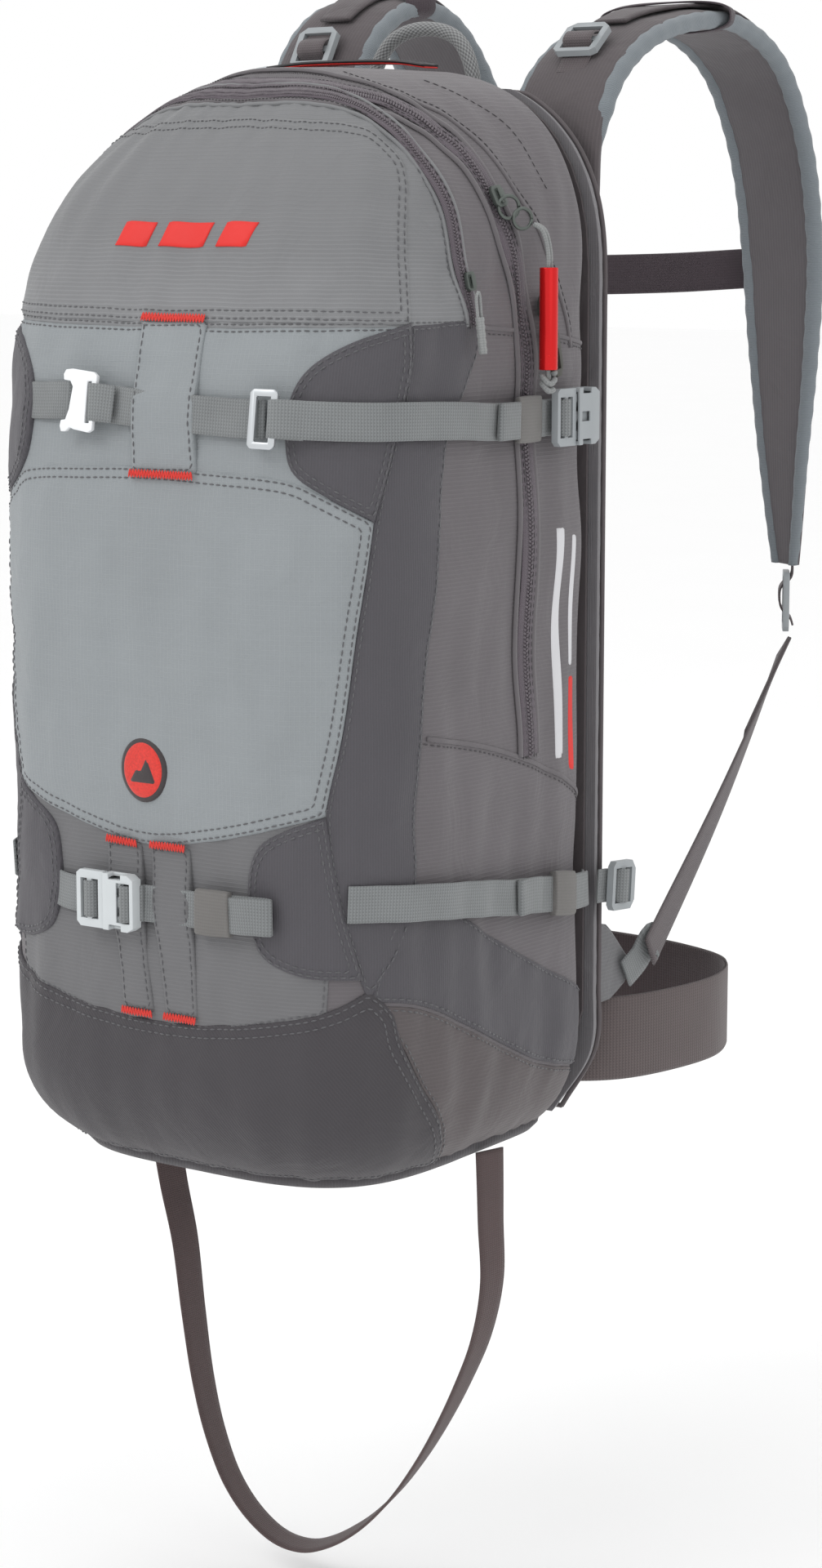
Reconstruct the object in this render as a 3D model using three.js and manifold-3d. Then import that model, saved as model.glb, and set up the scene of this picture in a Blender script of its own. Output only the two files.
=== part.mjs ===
// Avalanche airbag backpack: a 30 litre ski pack with its harness, closures and inflation system.
// While the pack is drawn, x runs across it with the wearer's right at +x, y is 0 on the plane
// where the bag meets the back panel and negative towards the front, and z is 0 at the bag's foot.
// The finished group is shifted so that the origin is the top of the haul loop's opening.
// Lengths are in millimetres.
import * as THREE from 'three';
import { mergeVertices } from 'three/addons/utils/BufferGeometryUtils.js';
import Module from 'manifold-3d';

const wasm = await Module();
wasm.setup();

// ---- driving dimensions ----
const HEIGHT = 598;
const HALF_WIDTH = 137;
const DEPTH = 228;
const FOOT_ROUND = 62;
const FOOT_TUCK = 48;
const RINGS = 19;
const RING_POINTS = 36;
const WALL = 3;
const GAP = 0.3;
const WEBBING = 20;
const WEBBING_THICK = 1.4;
const PANEL_LAYER = [0.4, 1.7];
const STRAP_LIFT = 5.4;
const OVER_STRAP = 7.1;
const UPPER_STRAP_Z = 415;
const LOWER_STRAP_Z = 156;
const HARNESS_WIDTH = 65;
const HARNESS_THICK = 12;
const LIFTER_HEIGHT = 7.4;
const BELT_WIDTH = 50;
const BELT_THICK = 2.4;
const SHEET = [0.4, 2.2];
const FOAM = [2.6, 12.6];
const PADS = [13, 24];
const YOKE = [13, 19];
const BUCKLE_WIDTH = 31;
const TUBE_LENGTH = 54;
const TUBE_FOOT = 437.5;
const HIP_BUCKLE_SCALE = [1.25, 1.7, 1.25];
const LADDER_STAND_OFF = 144.2;
const HAUL_LOOP = [0, 28, 620];

// ---- materials ----
function finish(colour, roughness, metalness = 0) {
  return new THREE.MeshStandardMaterial({ color: colour, roughness, metalness });
}
const fabricGrey = finish(0x6b6b6d, 0.85);
const fabricLight = finish(0x8d9295, 0.8);
const fabricBase = finish(0x4e4c51, 0.85);
const webbingLight = finish(0x787b7c, 0.8);
const webbingDark = finish(0x5f5656, 0.85);
const webbingBrown = finish(0x4a3c3c, 0.85);
const zipTape = finish(0x544c53, 0.7);
const plasticLight = finish(0x969ca2, 0.45);
const plasticDark = finish(0x2a2728, 0.5);
const metalWhite = finish(0xe8eaeb, 0.3, 0.8);
const metalGrey = finish(0x7c8077, 0.35, 0.8);
const redTubeMaterial = finish(0xc81414, 0.25, 0.6);
const foamGrey = finish(0x2f3033, 0.95);
const harnessFabric = finish(0x5f5a5e, 0.9);
const airbagFabric = finish(0xd8641e, 0.6);
const cordGrey = finish(0x77777a, 0.8);

const pack = new THREE.Group();

function add(name, geometry, material, matrix) {
  const mesh = new THREE.Mesh(geometry, material);
  mesh.name = name;
  if (matrix) matrix.decompose(mesh.position, mesh.quaternion, mesh.scale);
  pack.add(mesh);
  return mesh;
}

// ---- solids: closed meshes joined and cut ----
function toSolid(geometry) {
  const bare = geometry.clone();
  bare.deleteAttribute('normal');
  bare.deleteAttribute('uv');
  const merged = mergeVertices(bare, 1e-4);
  const vertProperties = new Float32Array(merged.attributes.position.array);
  const triVerts = new Uint32Array(merged.index.array);
  return new wasm.Manifold(new wasm.Mesh({ numProp: 3, vertProperties, triVerts }));
}

function toGeometry(solid) {
  const { vertProperties, triVerts } = solid.getMesh();
  const geometry = new THREE.BufferGeometry();
  geometry.setAttribute('position', new THREE.BufferAttribute(new Float32Array(vertProperties), 3));
  geometry.setIndex(new THREE.BufferAttribute(new Uint32Array(triVerts), 1));
  return geometry;
}

function indexedGeometry(points, faces) {
  const geometry = new THREE.BufferGeometry();
  geometry.setAttribute('position', new THREE.Float32BufferAttribute(points.flat(), 3));
  geometry.setIndex(faces.flat());
  return geometry;
}

function mirrored(geometry) {
  const copy = (geometry.index ? geometry : mergeVertices(geometry)).clone();
  copy.scale(-1, 1, 1);
  const index = copy.index.array;
  for (let i = 0; i < index.length; i += 3) [index[i], index[i + 1]] = [index[i + 1], index[i]];
  return copy;
}

function block(low, high) {
  const size = high.map((value, i) => value - low[i]);
  const geometry = new THREE.BoxGeometry(...size);
  return geometry.translate(...low.map((value, i) => value + size[i] / 2));
}

function plate(points, holes, depth) {
  const shape = new THREE.Shape(points.map(([x, y]) => new THREE.Vector2(x, y)));
  for (const hole of holes) shape.holes.push(new THREE.Path(hole.map(([x, y]) => new THREE.Vector2(x, y))));
  return new THREE.ExtrudeGeometry(shape, { depth, bevelEnabled: false });
}

// An outline in (x, z) swept towards the front, and one in (y, z) swept towards +x.
function frontPrism(points, depth = 300) {
  return plate(points, [], depth).rotateX(Math.PI / 2);
}
function sidePrism(points, thickness = 300) {
  const axes = new THREE.Matrix4().makeBasis(
    new THREE.Vector3(0, 1, 0), new THREE.Vector3(0, 0, 1), new THREE.Vector3(1, 0, 0));
  return plate(points, [], thickness).applyMatrix4(axes);
}

// ---- the bag's surface: a rounded D section whose size changes with height ----
function quarter(t, power = 2) {
  return (1 - Math.min(Math.max(t, 0), 1) ** power) ** (1 / power);
}
function footTuck(z) {
  return FOOT_TUCK * (1 - quarter((FOOT_ROUND - z) / FOOT_ROUND));
}
function frontHalfWidth(z) {
  return z > 455 ? HALF_WIDTH * quarter((z - 455) / 145) : HALF_WIDTH - footTuck(z);
}
function backHalfWidth(z) {
  return z > 480 ? HALF_WIDTH * quarter((z - 480) / 120, 2.6) : HALF_WIDTH - footTuck(z);
}
function depthAt(z) {
  return z > 360 ? 85 + (DEPTH - 85) * quarter((z - 360) / 240) : DEPTH - 1.15 * footTuck(z);
}

function bagPoint(z, angle, grow = 0, back = 0) {
  const depth = depthAt(z);
  const waist = Math.min(95, depth * 0.42);
  const front = Math.sin(angle) >= 0;
  const power = front ? 2 / 3.6 : 2 / 9;
  const across = Math.sign(Math.cos(angle)) * Math.abs(Math.cos(angle)) ** power;
  const along = Math.abs(Math.sin(angle)) ** power;
  const y = front ? -waist - (depth - waist + grow) * along : -waist + (waist + back) * along;
  const share = THREE.MathUtils.smoothstep(-y / depth, 0, 1);
  const half = backHalfWidth(z) * (1 - share) + frontHalfWidth(z) * share + grow;
  return [across * half, y, z + grow * (2 * z / HEIGHT - 1)];
}

function ringHeights() {
  const foot = [0, 6, 18, 36, 62];
  const middle = [150, 240, 330, 400];
  const top = [440, 470, 497, 520, 540, 557, 571, 582, 591, HEIGHT];
  return [...foot, ...middle, ...top].slice(0, RINGS);
}

function bagBody(grow, back = 0) {
  const points = [];
  const faces = [];
  const heights = ringHeights();
  for (const z of heights) {
    for (let i = 0; i < RING_POINTS; i++) {
      points.push(bagPoint(z, 2 * Math.PI * (i + 0.5) / RING_POINTS, grow, back));
    }
  }
  for (let k = 0; k + 1 < heights.length; k++) {
    for (let i = 0; i < RING_POINTS; i++) {
      const a = k * RING_POINTS + i;
      const b = k * RING_POINTS + (i + 1) % RING_POINTS;
      faces.push([a, b + RING_POINTS, b], [a, a + RING_POINTS, b + RING_POINTS]);
    }
  }
  const last = (heights.length - 1) * RING_POINTS;
  for (let i = 1; i + 1 < RING_POINTS; i++) {
    faces.push([0, i, i + 1], [last, last + i + 1, last + i]);
  }
  return toSolid(indexedGeometry(points, faces));
}

// A fabric layer on the bag: the part of a thin shell that lies inside every given prism.
const shells = new Map();
function shell([low, high]) {
  const key = `${low} ${high}`;
  if (!shells.has(key)) shells.set(key, bagBody(high).subtract(bagBody(low, 30)));
  return shells.get(key);
}
function fabricLayer(layer, ...prisms) {
  let solid = shell(layer);
  for (const prism of prisms) solid = solid.intersect(toSolid(prism));
  return toGeometry(solid);
}

// The nearest place on the bag's surface at a point's own height, with its outward normal.
function seat(point) {
  const [x, y, z] = point;
  let best = 0;
  let nearest = Infinity;
  for (let k = 0; k < 1440; k++) {
    const [px, py] = bagPoint(z, Math.PI * k / 720);
    const gap = (px - x) ** 2 + (py - y) ** 2;
    if (gap < nearest) [nearest, best] = [gap, Math.PI * k / 720];
  }
  const surface = (height, angle) => new THREE.Vector3(...bagPoint(height, angle));
  const at = surface(z, best);
  const round = surface(z, best + 0.01).sub(surface(z, best - 0.01));
  const rise = surface(z + 1, best).sub(surface(z - 1, best));
  const normal = rise.cross(round).normalize();
  if (normal.dot(new THREE.Vector3(at.x, at.y + 90, (z - 300) * 0.3)) < 0) normal.negate();
  return { at, normal };
}

// A frame on the bag: its x runs along the surface in a direction, its z points outwards.
function seatMatrix(point, direction, lift = 0) {
  const { at, normal } = seat(point);
  const along = new THREE.Vector3(...direction);
  along.addScaledVector(normal, -along.dot(normal)).normalize();
  const across = normal.clone().cross(along);
  return frameMatrix(at.addScaledVector(normal, lift), along, across, normal);
}
function frameMatrix(at, along, across, normal) {
  return new THREE.Matrix4().makeBasis(along, across, normal).setPosition(at);
}

// ---- straps: flat strips of webbing along a smooth path ----
function flatStrip(centres, acrosses, width, thickness) {
  const points = [];
  const faces = [];
  centres.forEach((centre, i) => {
    const before = centres[Math.max(i - 1, 0)];
    const after = centres[Math.min(i + 1, centres.length - 1)];
    const tangent = after.clone().sub(before).normalize();
    const across = acrosses[i].clone().addScaledVector(tangent, -acrosses[i].dot(tangent)).normalize();
    const normal = across.clone().cross(tangent);
    for (const [a, n] of [[-1, -1], [1, -1], [1, 1], [-1, 1]]) {
      const edge = centre.clone().addScaledVector(across, a * width / 2);
      points.push(edge.addScaledVector(normal, n * thickness / 2).toArray());
    }
  });
  for (let i = 0; i + 1 < centres.length; i++) {
    for (let k = 0; k < 4; k++) {
      const a = 4 * i + k;
      const b = 4 * i + (k + 1) % 4;
      faces.push([a, a + 4, b + 4], [a, b + 4, b]);
    }
  }
  const end = 4 * (centres.length - 1);
  faces.push([0, 1, 2], [0, 2, 3], [end, end + 2, end + 1], [end, end + 3, end + 2]);
  return indexedGeometry(points, faces);
}

function smoothPath(points, count) {
  const curve = new THREE.CatmullRomCurve3(points.map((p) => new THREE.Vector3(...p)), false, 'centripetal');
  return curve.getSpacedPoints(count);
}

// A strip that lies on the bag at a height above its fabric.
function bagStrip(points, width, lift, thickness, count = 14) {
  const seats = smoothPath(points, count).map((p) => seat(p.toArray()));
  const centres = seats.map(({ at, normal }) => at.clone().addScaledVector(normal, lift + thickness / 2));
  const acrosses = seats.map(({ normal }, i) => {
    const ahead = centres[Math.min(i + 1, centres.length - 1)].clone().sub(centres[Math.max(i - 1, 0)]);
    return normal.clone().cross(ahead).normalize().negate();
  });
  return flatStrip(centres, acrosses, width, thickness);
}

// A strip in free air whose width direction is given at each point of its path.
function freeStrip(points, acrossPoints, width, thickness, count = 16) {
  const centres = smoothPath(points, count);
  const turned = smoothPath(acrossPoints, count).map((a) => a.normalize());
  return flatStrip(centres, turned, width, thickness);
}

function roundTube(points, radius, steps, sides = 8) {
  const curve = new THREE.CatmullRomCurve3(points.map((p) => new THREE.Vector3(...p)), false, 'centripetal');
  const section = new THREE.Shape();
  for (let k = 0; k < sides; k++) {
    const turn = 2 * Math.PI * k / sides;
    const corner = [radius * Math.cos(turn), radius * Math.sin(turn)];
    if (k === 0) section.moveTo(...corner);
    else section.lineTo(...corner);
  }
  return new THREE.ExtrudeGeometry(section, { steps, extrudePath: curve, bevelEnabled: false });
}

function turned(profile, segments = 16) {
  const outline = profile.map(([r, z]) => new THREE.Vector2(r, z));
  return new THREE.LatheGeometry(outline, segments).rotateX(Math.PI / 2);
}

function flipSides(points) {
  return points.map(([x, ...rest]) => [-x, ...rest]);
}
function bothSides(name, geometry, material) {
  add(`${name}_right`, geometry, material);
  add(`${name}_left`, mirrored(geometry), material);
}

// ---- bag and its panels ----
function buildBag() {
  const shellSolid = bagBody(0).subtract(bagBody(-WALL, 60));
  add('main_bag', toGeometry(shellSolid), fabricGrey);

  const panelSide = [[122, 363], [117, 313], [111, 253], [104, 210]];
  const panelTop = [[-105, 376], [-58, 387], [58, 387], [105, 376]];
  const panelFoot = [[76, 204], [0, 186], [-76, 204]];
  const frontPanel = [...panelTop, ...panelSide, ...panelFoot, ...flipSides(panelSide).reverse()];
  add('front_panel', fabricLayer(PANEL_LAYER, frontPrism(frontPanel)), fabricLight);

  const frontHalf = block([-200, -300, 0], [200, -134, 700]);
  const pocketSide = [[134, 466], [134, 490], [118, 540], [70, 576]];
  const pocket = [...pocketSide, ...flipSides(pocketSide).reverse()];
  add('top_pocket', fabricLayer(PANEL_LAYER, frontPrism(pocket), frontHalf), fabricGrey);

  const below = [[-200, -20], [200, -20], [200, 97], [-200, 97]];
  const baseFront = [[-300, -20], [-135, -20], [-150, 40], [-180, 92], [-200, 94], [-300, 94]];
  const baseFoot = [[-135, -20], [-6, -20], [-6, 10], [-144, 10]];
  const across = sidePrism(baseFront).translate(-150, 0, 0);
  const under = sidePrism(baseFoot).translate(-150, 0, 0);
  const baseZone = toSolid(across).add(toSolid(under));
  const base = shell(PANEL_LAYER).intersect(baseZone).intersect(toSolid(frontPrism(below)));
  add('base_panel', toGeometry(base), fabricBase);
}

// ---- zips ----
function buildZips() {
  const mainZip = [[137, -73, 228], [137, -74, 330], [137, -75, 440], [135, -84, 490], [125, -92, 529],
    [107, -97, 554], [76, -108, 574], [40, -116, 584]];
  const whole = [...mainZip, [0, -120, 587], ...flipSides(mainZip).reverse()];
  add('main_zip', bagStrip(whole, 15, 1.4, 1, 56), zipTape);
  const pocketZip = [[136, -128, 468], [132, -134, 491], [120, -130, 524], [105, -130, 546], [67, -130, 574]];
  const arch = [...pocketZip, [0, -133, 581], ...flipSides(pocketZip).reverse()];
  add('pocket_zip', bagStrip(arch, 8, 2.8, 1, 40), zipTape);
}

const sliderPlate = () => block([-6, -4.5, 0], [6, 4.5, 3]);
function pullTab(length, width) {
  const half = width / 2;
  const outline = [[0, -half + 1], [length * 0.7, -half], [length, -half * 0.5], [length, half * 0.5],
    [length * 0.7, half], [0, half - 1]];
  const eye = [[2, -1.6], [6, -1.6], [6, 1.6], [2, 1.6]];
  return plate(outline, [eye], 1.6);
}

function buildSliders() {
  const main = seatMatrix([137, -75, 470], [0, 0, -1], 2.8);
  add('main_slider_low', sliderPlate(), metalGrey, main);
  add('main_pull_low', pullTab(34, 10), metalGrey, seatMatrix([137, -75, 466], [0, 0.25, -1], 6.2));
  const upper = seatMatrix([126, -91, 527], [0.3, 0.1, -1], 2.9);
  add('main_slider_high', sliderPlate(), metalGrey, upper);
  const pocket = seatMatrix([134, -131, 484], [0, 0.1, -1], 4.2);
  add('pocket_slider', block([-5, -3.5, 0], [5, 3.5, 2.6]), metalGrey, pocket);
  add('pocket_pull', pullTab(36, 7), cordGrey, seatMatrix([135, -130, 480], [0, 0, -1], 7.2));
}

// The red tube pull: a cord from the upper slider runs through an aluminium tube and ends in a knot.
function buildTubePull() {
  const x = 153;
  const y = -77;
  const cord = [[145, -78, 514], [150, y - 1, 511], [x, y, 500], [x, y, TUBE_FOOT - 3]];
  const tube = turned([[0, 0], [5, 0], [5, TUBE_LENGTH], [0, TUBE_LENGTH]], 14).translate(x, y, TUBE_FOOT);
  const knot = new THREE.IcosahedronGeometry(5.2, 1).translate(x, y, TUBE_FOOT - 5.5);
  const parts = [tube, knot].reduce((sum, next) => sum.add(toSolid(next)), toSolid(roundTube(cord, 1.8, 12)));
  add('tube_pull', toGeometry(parts), redTubeMaterial);
}

// ---- buckles and ladder-locks, drawn flat: x along the strap, z off the fabric ----
// A flat bar with slots through it; each is given by its two ends along the strap and its half width.
function slotted([start, end, half], slots, thickness) {
  const bar = toSolid(block([start, -half, 0], [end, half, thickness]));
  const cut = ([from, to, reach]) => toSolid(block([from, -reach, -1], [to, reach, thickness + 1]));
  return slots.reduce((solid, slot) => solid.subtract(cut(slot)), bar);
}
function housing() {
  const body = toSolid(block([0, -BUCKLE_WIDTH / 2, 0], [21, BUCKLE_WIDTH / 2, 7.4]));
  const pocket = toSolid(block([-1, -13.2, 1.3], [15, 13.2, 6.1]));
  return toGeometry(body.subtract(pocket));
}
function plug() {
  const half = BUCKLE_WIDTH / 2;
  const bars = slotted([-20, -1, half], [[-17, -12, 11], [-9, -4, 11]], 4);
  const tongue = block([-2, -3, 0], [13, 3, 4]);
  const prong = plate([[-2, 7.5], [9, 7], [14, 9], [12, 12.6], [-2, 12.4]], [], 4);
  const parts = [tongue, prong, prong.clone().rotateX(Math.PI).translate(0, 0, 4)];
  const joined = parts.reduce((sum, next) => sum.add(toSolid(next)), bars);
  return toGeometry(joined).translate(0, 0, 1.7);
}
function ladderLock(width, length = 26) {
  const slots = [[3, 9, width / 2 + 0.8], [13, length - 4, width / 2 + 0.8]];
  return toGeometry(slotted([0, length, width / 2 + 4], slots, 4));
}

function buildUpperStrap() {
  const z = UPPER_STRAP_Z;
  const strap = (points, count) => bagStrip(points, WEBBING, STRAP_LIFT, WEBBING_THICK, count);
  const loop = [[-52, -223, z + 6], [-90, -216, z + 5], [-118, -196, z + 3], [-131, -168, z + 1],
    [-136, -140, z - 1], [-137, -70, z - 3], [-137, -12, z - 3]];
  add('hook_loop', strap(loop, 22), webbingLight);
  const middle = [[-28, -225, z + 5], [-2, -226, z + 3], [40, -224, z + 1], [66, -221, z]];
  add('hook_webbing', strap(middle, 8), webbingLight);
  const wrap = [[80, -219, z], [100, -210, z], [119, -196, z], [131, -170, z], [136, -140, z - 2], [137, -109, z - 4],
    [137, -60, z - 4], [137, -46, z - 4]];
  add('upper_webbing', strap(wrap, 22), webbingLight);

  const hook = [[0, -16], [6, -16], [6, -4], [13, -4], [13, -15], [24, -15], [24, -10], [18, -10], [18, 12],
    [24, 12], [24, 16], [0, 16]];
  const slot = [[2, -1], [4.5, -1], [4.5, 12], [2, 12]];
  const hookSeat = seatMatrix([-30, -225, z + 5], [-1, 0, 0], OVER_STRAP + 0.2);
  add('strap_hook', plate(hook, [slot], 3), metalWhite, hookSeat);
  const ringShape = toGeometry(slotted([0, 16, 15.5], [[3.2, 12.8, 12]], 3));
  add('strap_ring', ringShape, metalWhite, seatMatrix([68, -220, z], [1, 0, 0], OVER_STRAP + 0.2));
  const clip = seatMatrix([137, -43, z - 4], [0, 1, 0], OVER_STRAP);
  add('side_buckle_housing', housing(), plasticLight, clip);
  add('side_buckle_plug', plug(), plasticLight, clip);
}

function buildLowerStraps() {
  const z = LOWER_STRAP_Z;
  const strap = (points, count) => bagStrip(points, WEBBING, STRAP_LIFT, WEBBING_THICK, count);
  add('front_webbing', strap([[2, -228, z], [40, -228, z], [76, -224, z + 1]], 6), webbingLight);
  const clip = seatMatrix([-22, -228, z], [1, 0, 0], OVER_STRAP);
  add('front_buckle_housing', housing(), plasticLight, clip);
  add('front_buckle_plug', plug(), plasticLight, clip);

  const wrap = [[112, -206, z + 9], [126, -188, z + 7], [133, -164, z + 5], [137, -120, z], [137, -91, z - 4],
    [137, -36, z - 10], [136, -8, z - 13]];
  bothSides('lower_webbing', strap(wrap, 18), webbingLight);
  for (const [side, sign] of [['right', 1], ['left', -1]]) {
    const along = new THREE.Vector3(0, 1, -0.08).normalize();
    const normal = new THREE.Vector3(sign, 0, 0);
    const at = new THREE.Vector3(sign * LADDER_STAND_OFF, 2, z - 12.5);
    const matrix = frameMatrix(at, along, normal.clone().cross(along), normal);
    add(`lower_lock_${side}`, ladderLock(WEBBING, 24), plasticLight, matrix);
  }
}

// ---- what the bag holds: frame, stays and the inflation system ----
function backOutline(inset, low, high) {
  const right = [];
  for (let k = 0; k <= 20; k++) {
    const z = low + (high - low) * (1 - (1 - k / 20) ** 2);
    right.push([backHalfWidth(z) - inset, z]);
  }
  return [...right, ...flipSides(right).reverse()];
}
function slab(outline, [near, far]) {
  return frontPrism(outline, far - near).translate(0, far, 0);
}
function drilled(geometry, x, z, radius) {
  const drill = new THREE.CylinderGeometry(radius, radius, 80, 12).translate(x, 0, z);
  return toGeometry(toSolid(geometry).subtract(toSolid(drill)));
}

const CABLE = [-88, 505];
function buildFrame() {
  add('frame_sheet', drilled(slab(backOutline(8, 14, 582), SHEET), ...CABLE, 5), plasticDark);
  add('back_panel', drilled(slab(backOutline(2, 6, 588), FOAM), ...CABLE, 5), foamGrey);
  const stay = [[-50, 60], [-50, 480], [-30, 530], [30, 530], [50, 480], [50, 60], [44, 60], [44, 478], [27, 524],
    [-27, 524], [-44, 478], [-44, 60]];
  add('frame_stay', slab(stay, [-3.4, -0.4]), metalGrey);
  const pad = [[26, 150], [60, 150], [88, 170], [96, 200], [96, 440], [84, 478], [40, 478], [26, 440]];
  const lumbar = [[-66, 40], [66, 40], [76, 60], [76, 140], [60, 160], [-60, 160], [-76, 140], [-76, 60]];
  const columns = [pad, flipSides(pad).reverse()].map((outline) => toSolid(slab(outline, PADS)));
  const padding = columns.reduce((sum, next) => sum.add(next), toSolid(slab(lumbar, PADS)));
  add('back_padding', toGeometry(padding), foamGrey);
  const yoke = [[-120, 512], [120, 512], [120, 540], [92, 572], [50, 584], [-50, 584], [-92, 572], [-120, 540]];
  add('strap_yoke', drilled(slab(yoke, YOKE), -88, 522, 4), harnessFabric);
}

function buildInflation() {
  const x = -62;
  const y = -62;
  const bottle = [[0, 0], [20, 0], [29, 8], [29, 150], [20, 176], [12, 186], [12, 200], [0, 200]];
  add('gas_cartridge', turned(bottle, 18).translate(x, y, 110), metalGrey);
  const unit = toSolid(block([x - 26, y - 22, 310.5], [x + 26, y + 24, 372]));
  const pinBore = new THREE.CylinderGeometry(3.4, 3.4, 20, 10).translate(x, y + 16, 341);
  add('inflation_unit', toGeometry(unit.subtract(toSolid(pinBore))), plasticDark);
  const pin = new THREE.CylinderGeometry(3, 3, 22, 10).translate(x, y + 22, 341);
  add('release_pin', pin, metalGrey);
  const hose = [[x, y, 372.5], [x, y, 396], [-72, -62, 420], [-84, -62, 444]];
  add('airbag_hose', roundTube(hose, 11, 8), plasticDark);
  const bundle = [[-90, -58, 466], [-88, -56, 500], [-64, -52, 540], [-30, -50, 556], [0, -50, 560], [30, -50, 556],
    [64, -52, 540], [88, -56, 500], [94, -58, 440]];
  add('folded_airbag', roundTube(bundle, 21, 20, 10), airbagFabric);
  const route = [[x, -19, 341], [-64, -12, 356], [-70, -10, 400], [-84, -9, 460], [-88, -6, 492], [-88, 0, 504],
    [-88, 8, 505.5]];
  add('cable_housing', roundTube(route, 2, 26), plasticDark);
}

// ---- harness ----
const rightStrapPath = [[88, 26, 530], [88, 29, 560], [88, 46, 592], [88, 78, 615], [89, 125, 629], [91, 185, 631],
  [92, 238, 608], [93, 271, 560], [94, 286, 500], [95, 289, 430], [95, 291, 370], [94, 298, 300]];
const leftStrapPath = [[-88, 26, 530], [-88, 29, 560], [-88, 41, 595], [-88, 66, 627], [-89, 104, 643],
  [-90, 146, 636], [-92, 186, 603], [-93, 214, 550], [-94, 231, 480], [-94, 240, 410], [-94, 248, 310]];
const rightTurn = [[1, 0, 0], [1, 0, 0], [1, -0.1, 0], [0.94, -0.34, 0], [0.94, -0.34, 0], [0.94, -0.3, 0]];
const leftTurn = [[1, 0, 0], [1, 0, 0], [1, 0.05, 0], [1, 0.1, 0], [1, 0.1, 0]];

// Frames along a shoulder strap: x down the strap, z off its outer face, y across it.
function strapFrames(path, turn) {
  const centres = smoothPath(path, 60);
  const widths = smoothPath(turn, 60).map((a) => a.normalize());
  return (i) => {
    const along = centres[i + 1].clone().sub(centres[i - 1]).normalize();
    const across = widths[i].clone().negate().addScaledVector(along, widths[i].dot(along)).normalize();
    const normal = along.clone().cross(across);
    return (x, y, z) => centres[i].clone().addScaledVector(along, x).addScaledVector(across, y)
      .addScaledVector(normal, z);
  };
}
function strapMatrix(frame, x = 0, y = 0, z = 0) {
  const at = frame(x, y, z);
  const along = frame(1, 0, 0).sub(frame(0, 0, 0));
  const across = frame(0, 1, 0).sub(frame(0, 0, 0));
  const normal = frame(0, 0, 1).sub(frame(0, 0, 0));
  return frameMatrix(at, along, across, normal);
}

function buildShoulderStrap(side, path, turn) {
  add(`shoulder_strap_${side}`, freeStrip(path, turn, HARNESS_WIDTH, HARNESS_THICK, 26), harnessFabric);
  const frame = strapFrames(path, turn);
  const lock = ladderLock(WEBBING).translate(-13, 0, 0);
  add(`lifter_lock_${side}`, lock, plasticLight, strapMatrix(frame(8), 0, 0, LIFTER_HEIGHT + 1.4));
  return frame;
}

function buildTrigger(frame) {
  const outline = [[0, -6], [8, -11], [74, -11], [82, -6], [82, 6], [74, 11], [8, 11], [0, 6]];
  const grip = [[16, -5], [66, -5], [66, 5], [16, 5]];
  add('trigger_handle', plate(outline, [grip], 14), redTubeMaterial, strapMatrix(frame(46), 0, 0, 7));
}

function buildAdjuster(side, top, foot, across) {
  const acrossVector = new THREE.Vector3(...across).normalize();
  const along = new THREE.Vector3(0, 0, -1);
  const normal = along.clone().cross(acrossVector);
  const place = new THREE.Vector3(top[0], top[1], top[2] - 5).addScaledVector(normal, -2);
  const lock = ladderLock(WEBBING, 38);
  add(`strap_adjuster_${side}`, lock, plasticLight, frameMatrix(place, along, acrossVector, normal));
  const start = [top[0], top[1], top[2] - 54];
  const sag = start.map((value, i) => (value + foot[i]) / 2 - (i === 2 ? 6 : 0));
  const flat = [0, 0.55 * Math.sign(across[1]), -0.83 * Math.sign(across[1])];
  const turn = [across, across.map((value, i) => (value + flat[i]) / 2), flat];
  add(`strap_webbing_${side}`, freeStrip([start, sag, foot], turn, WEBBING, 1.6, 12), webbingDark);
}

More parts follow.
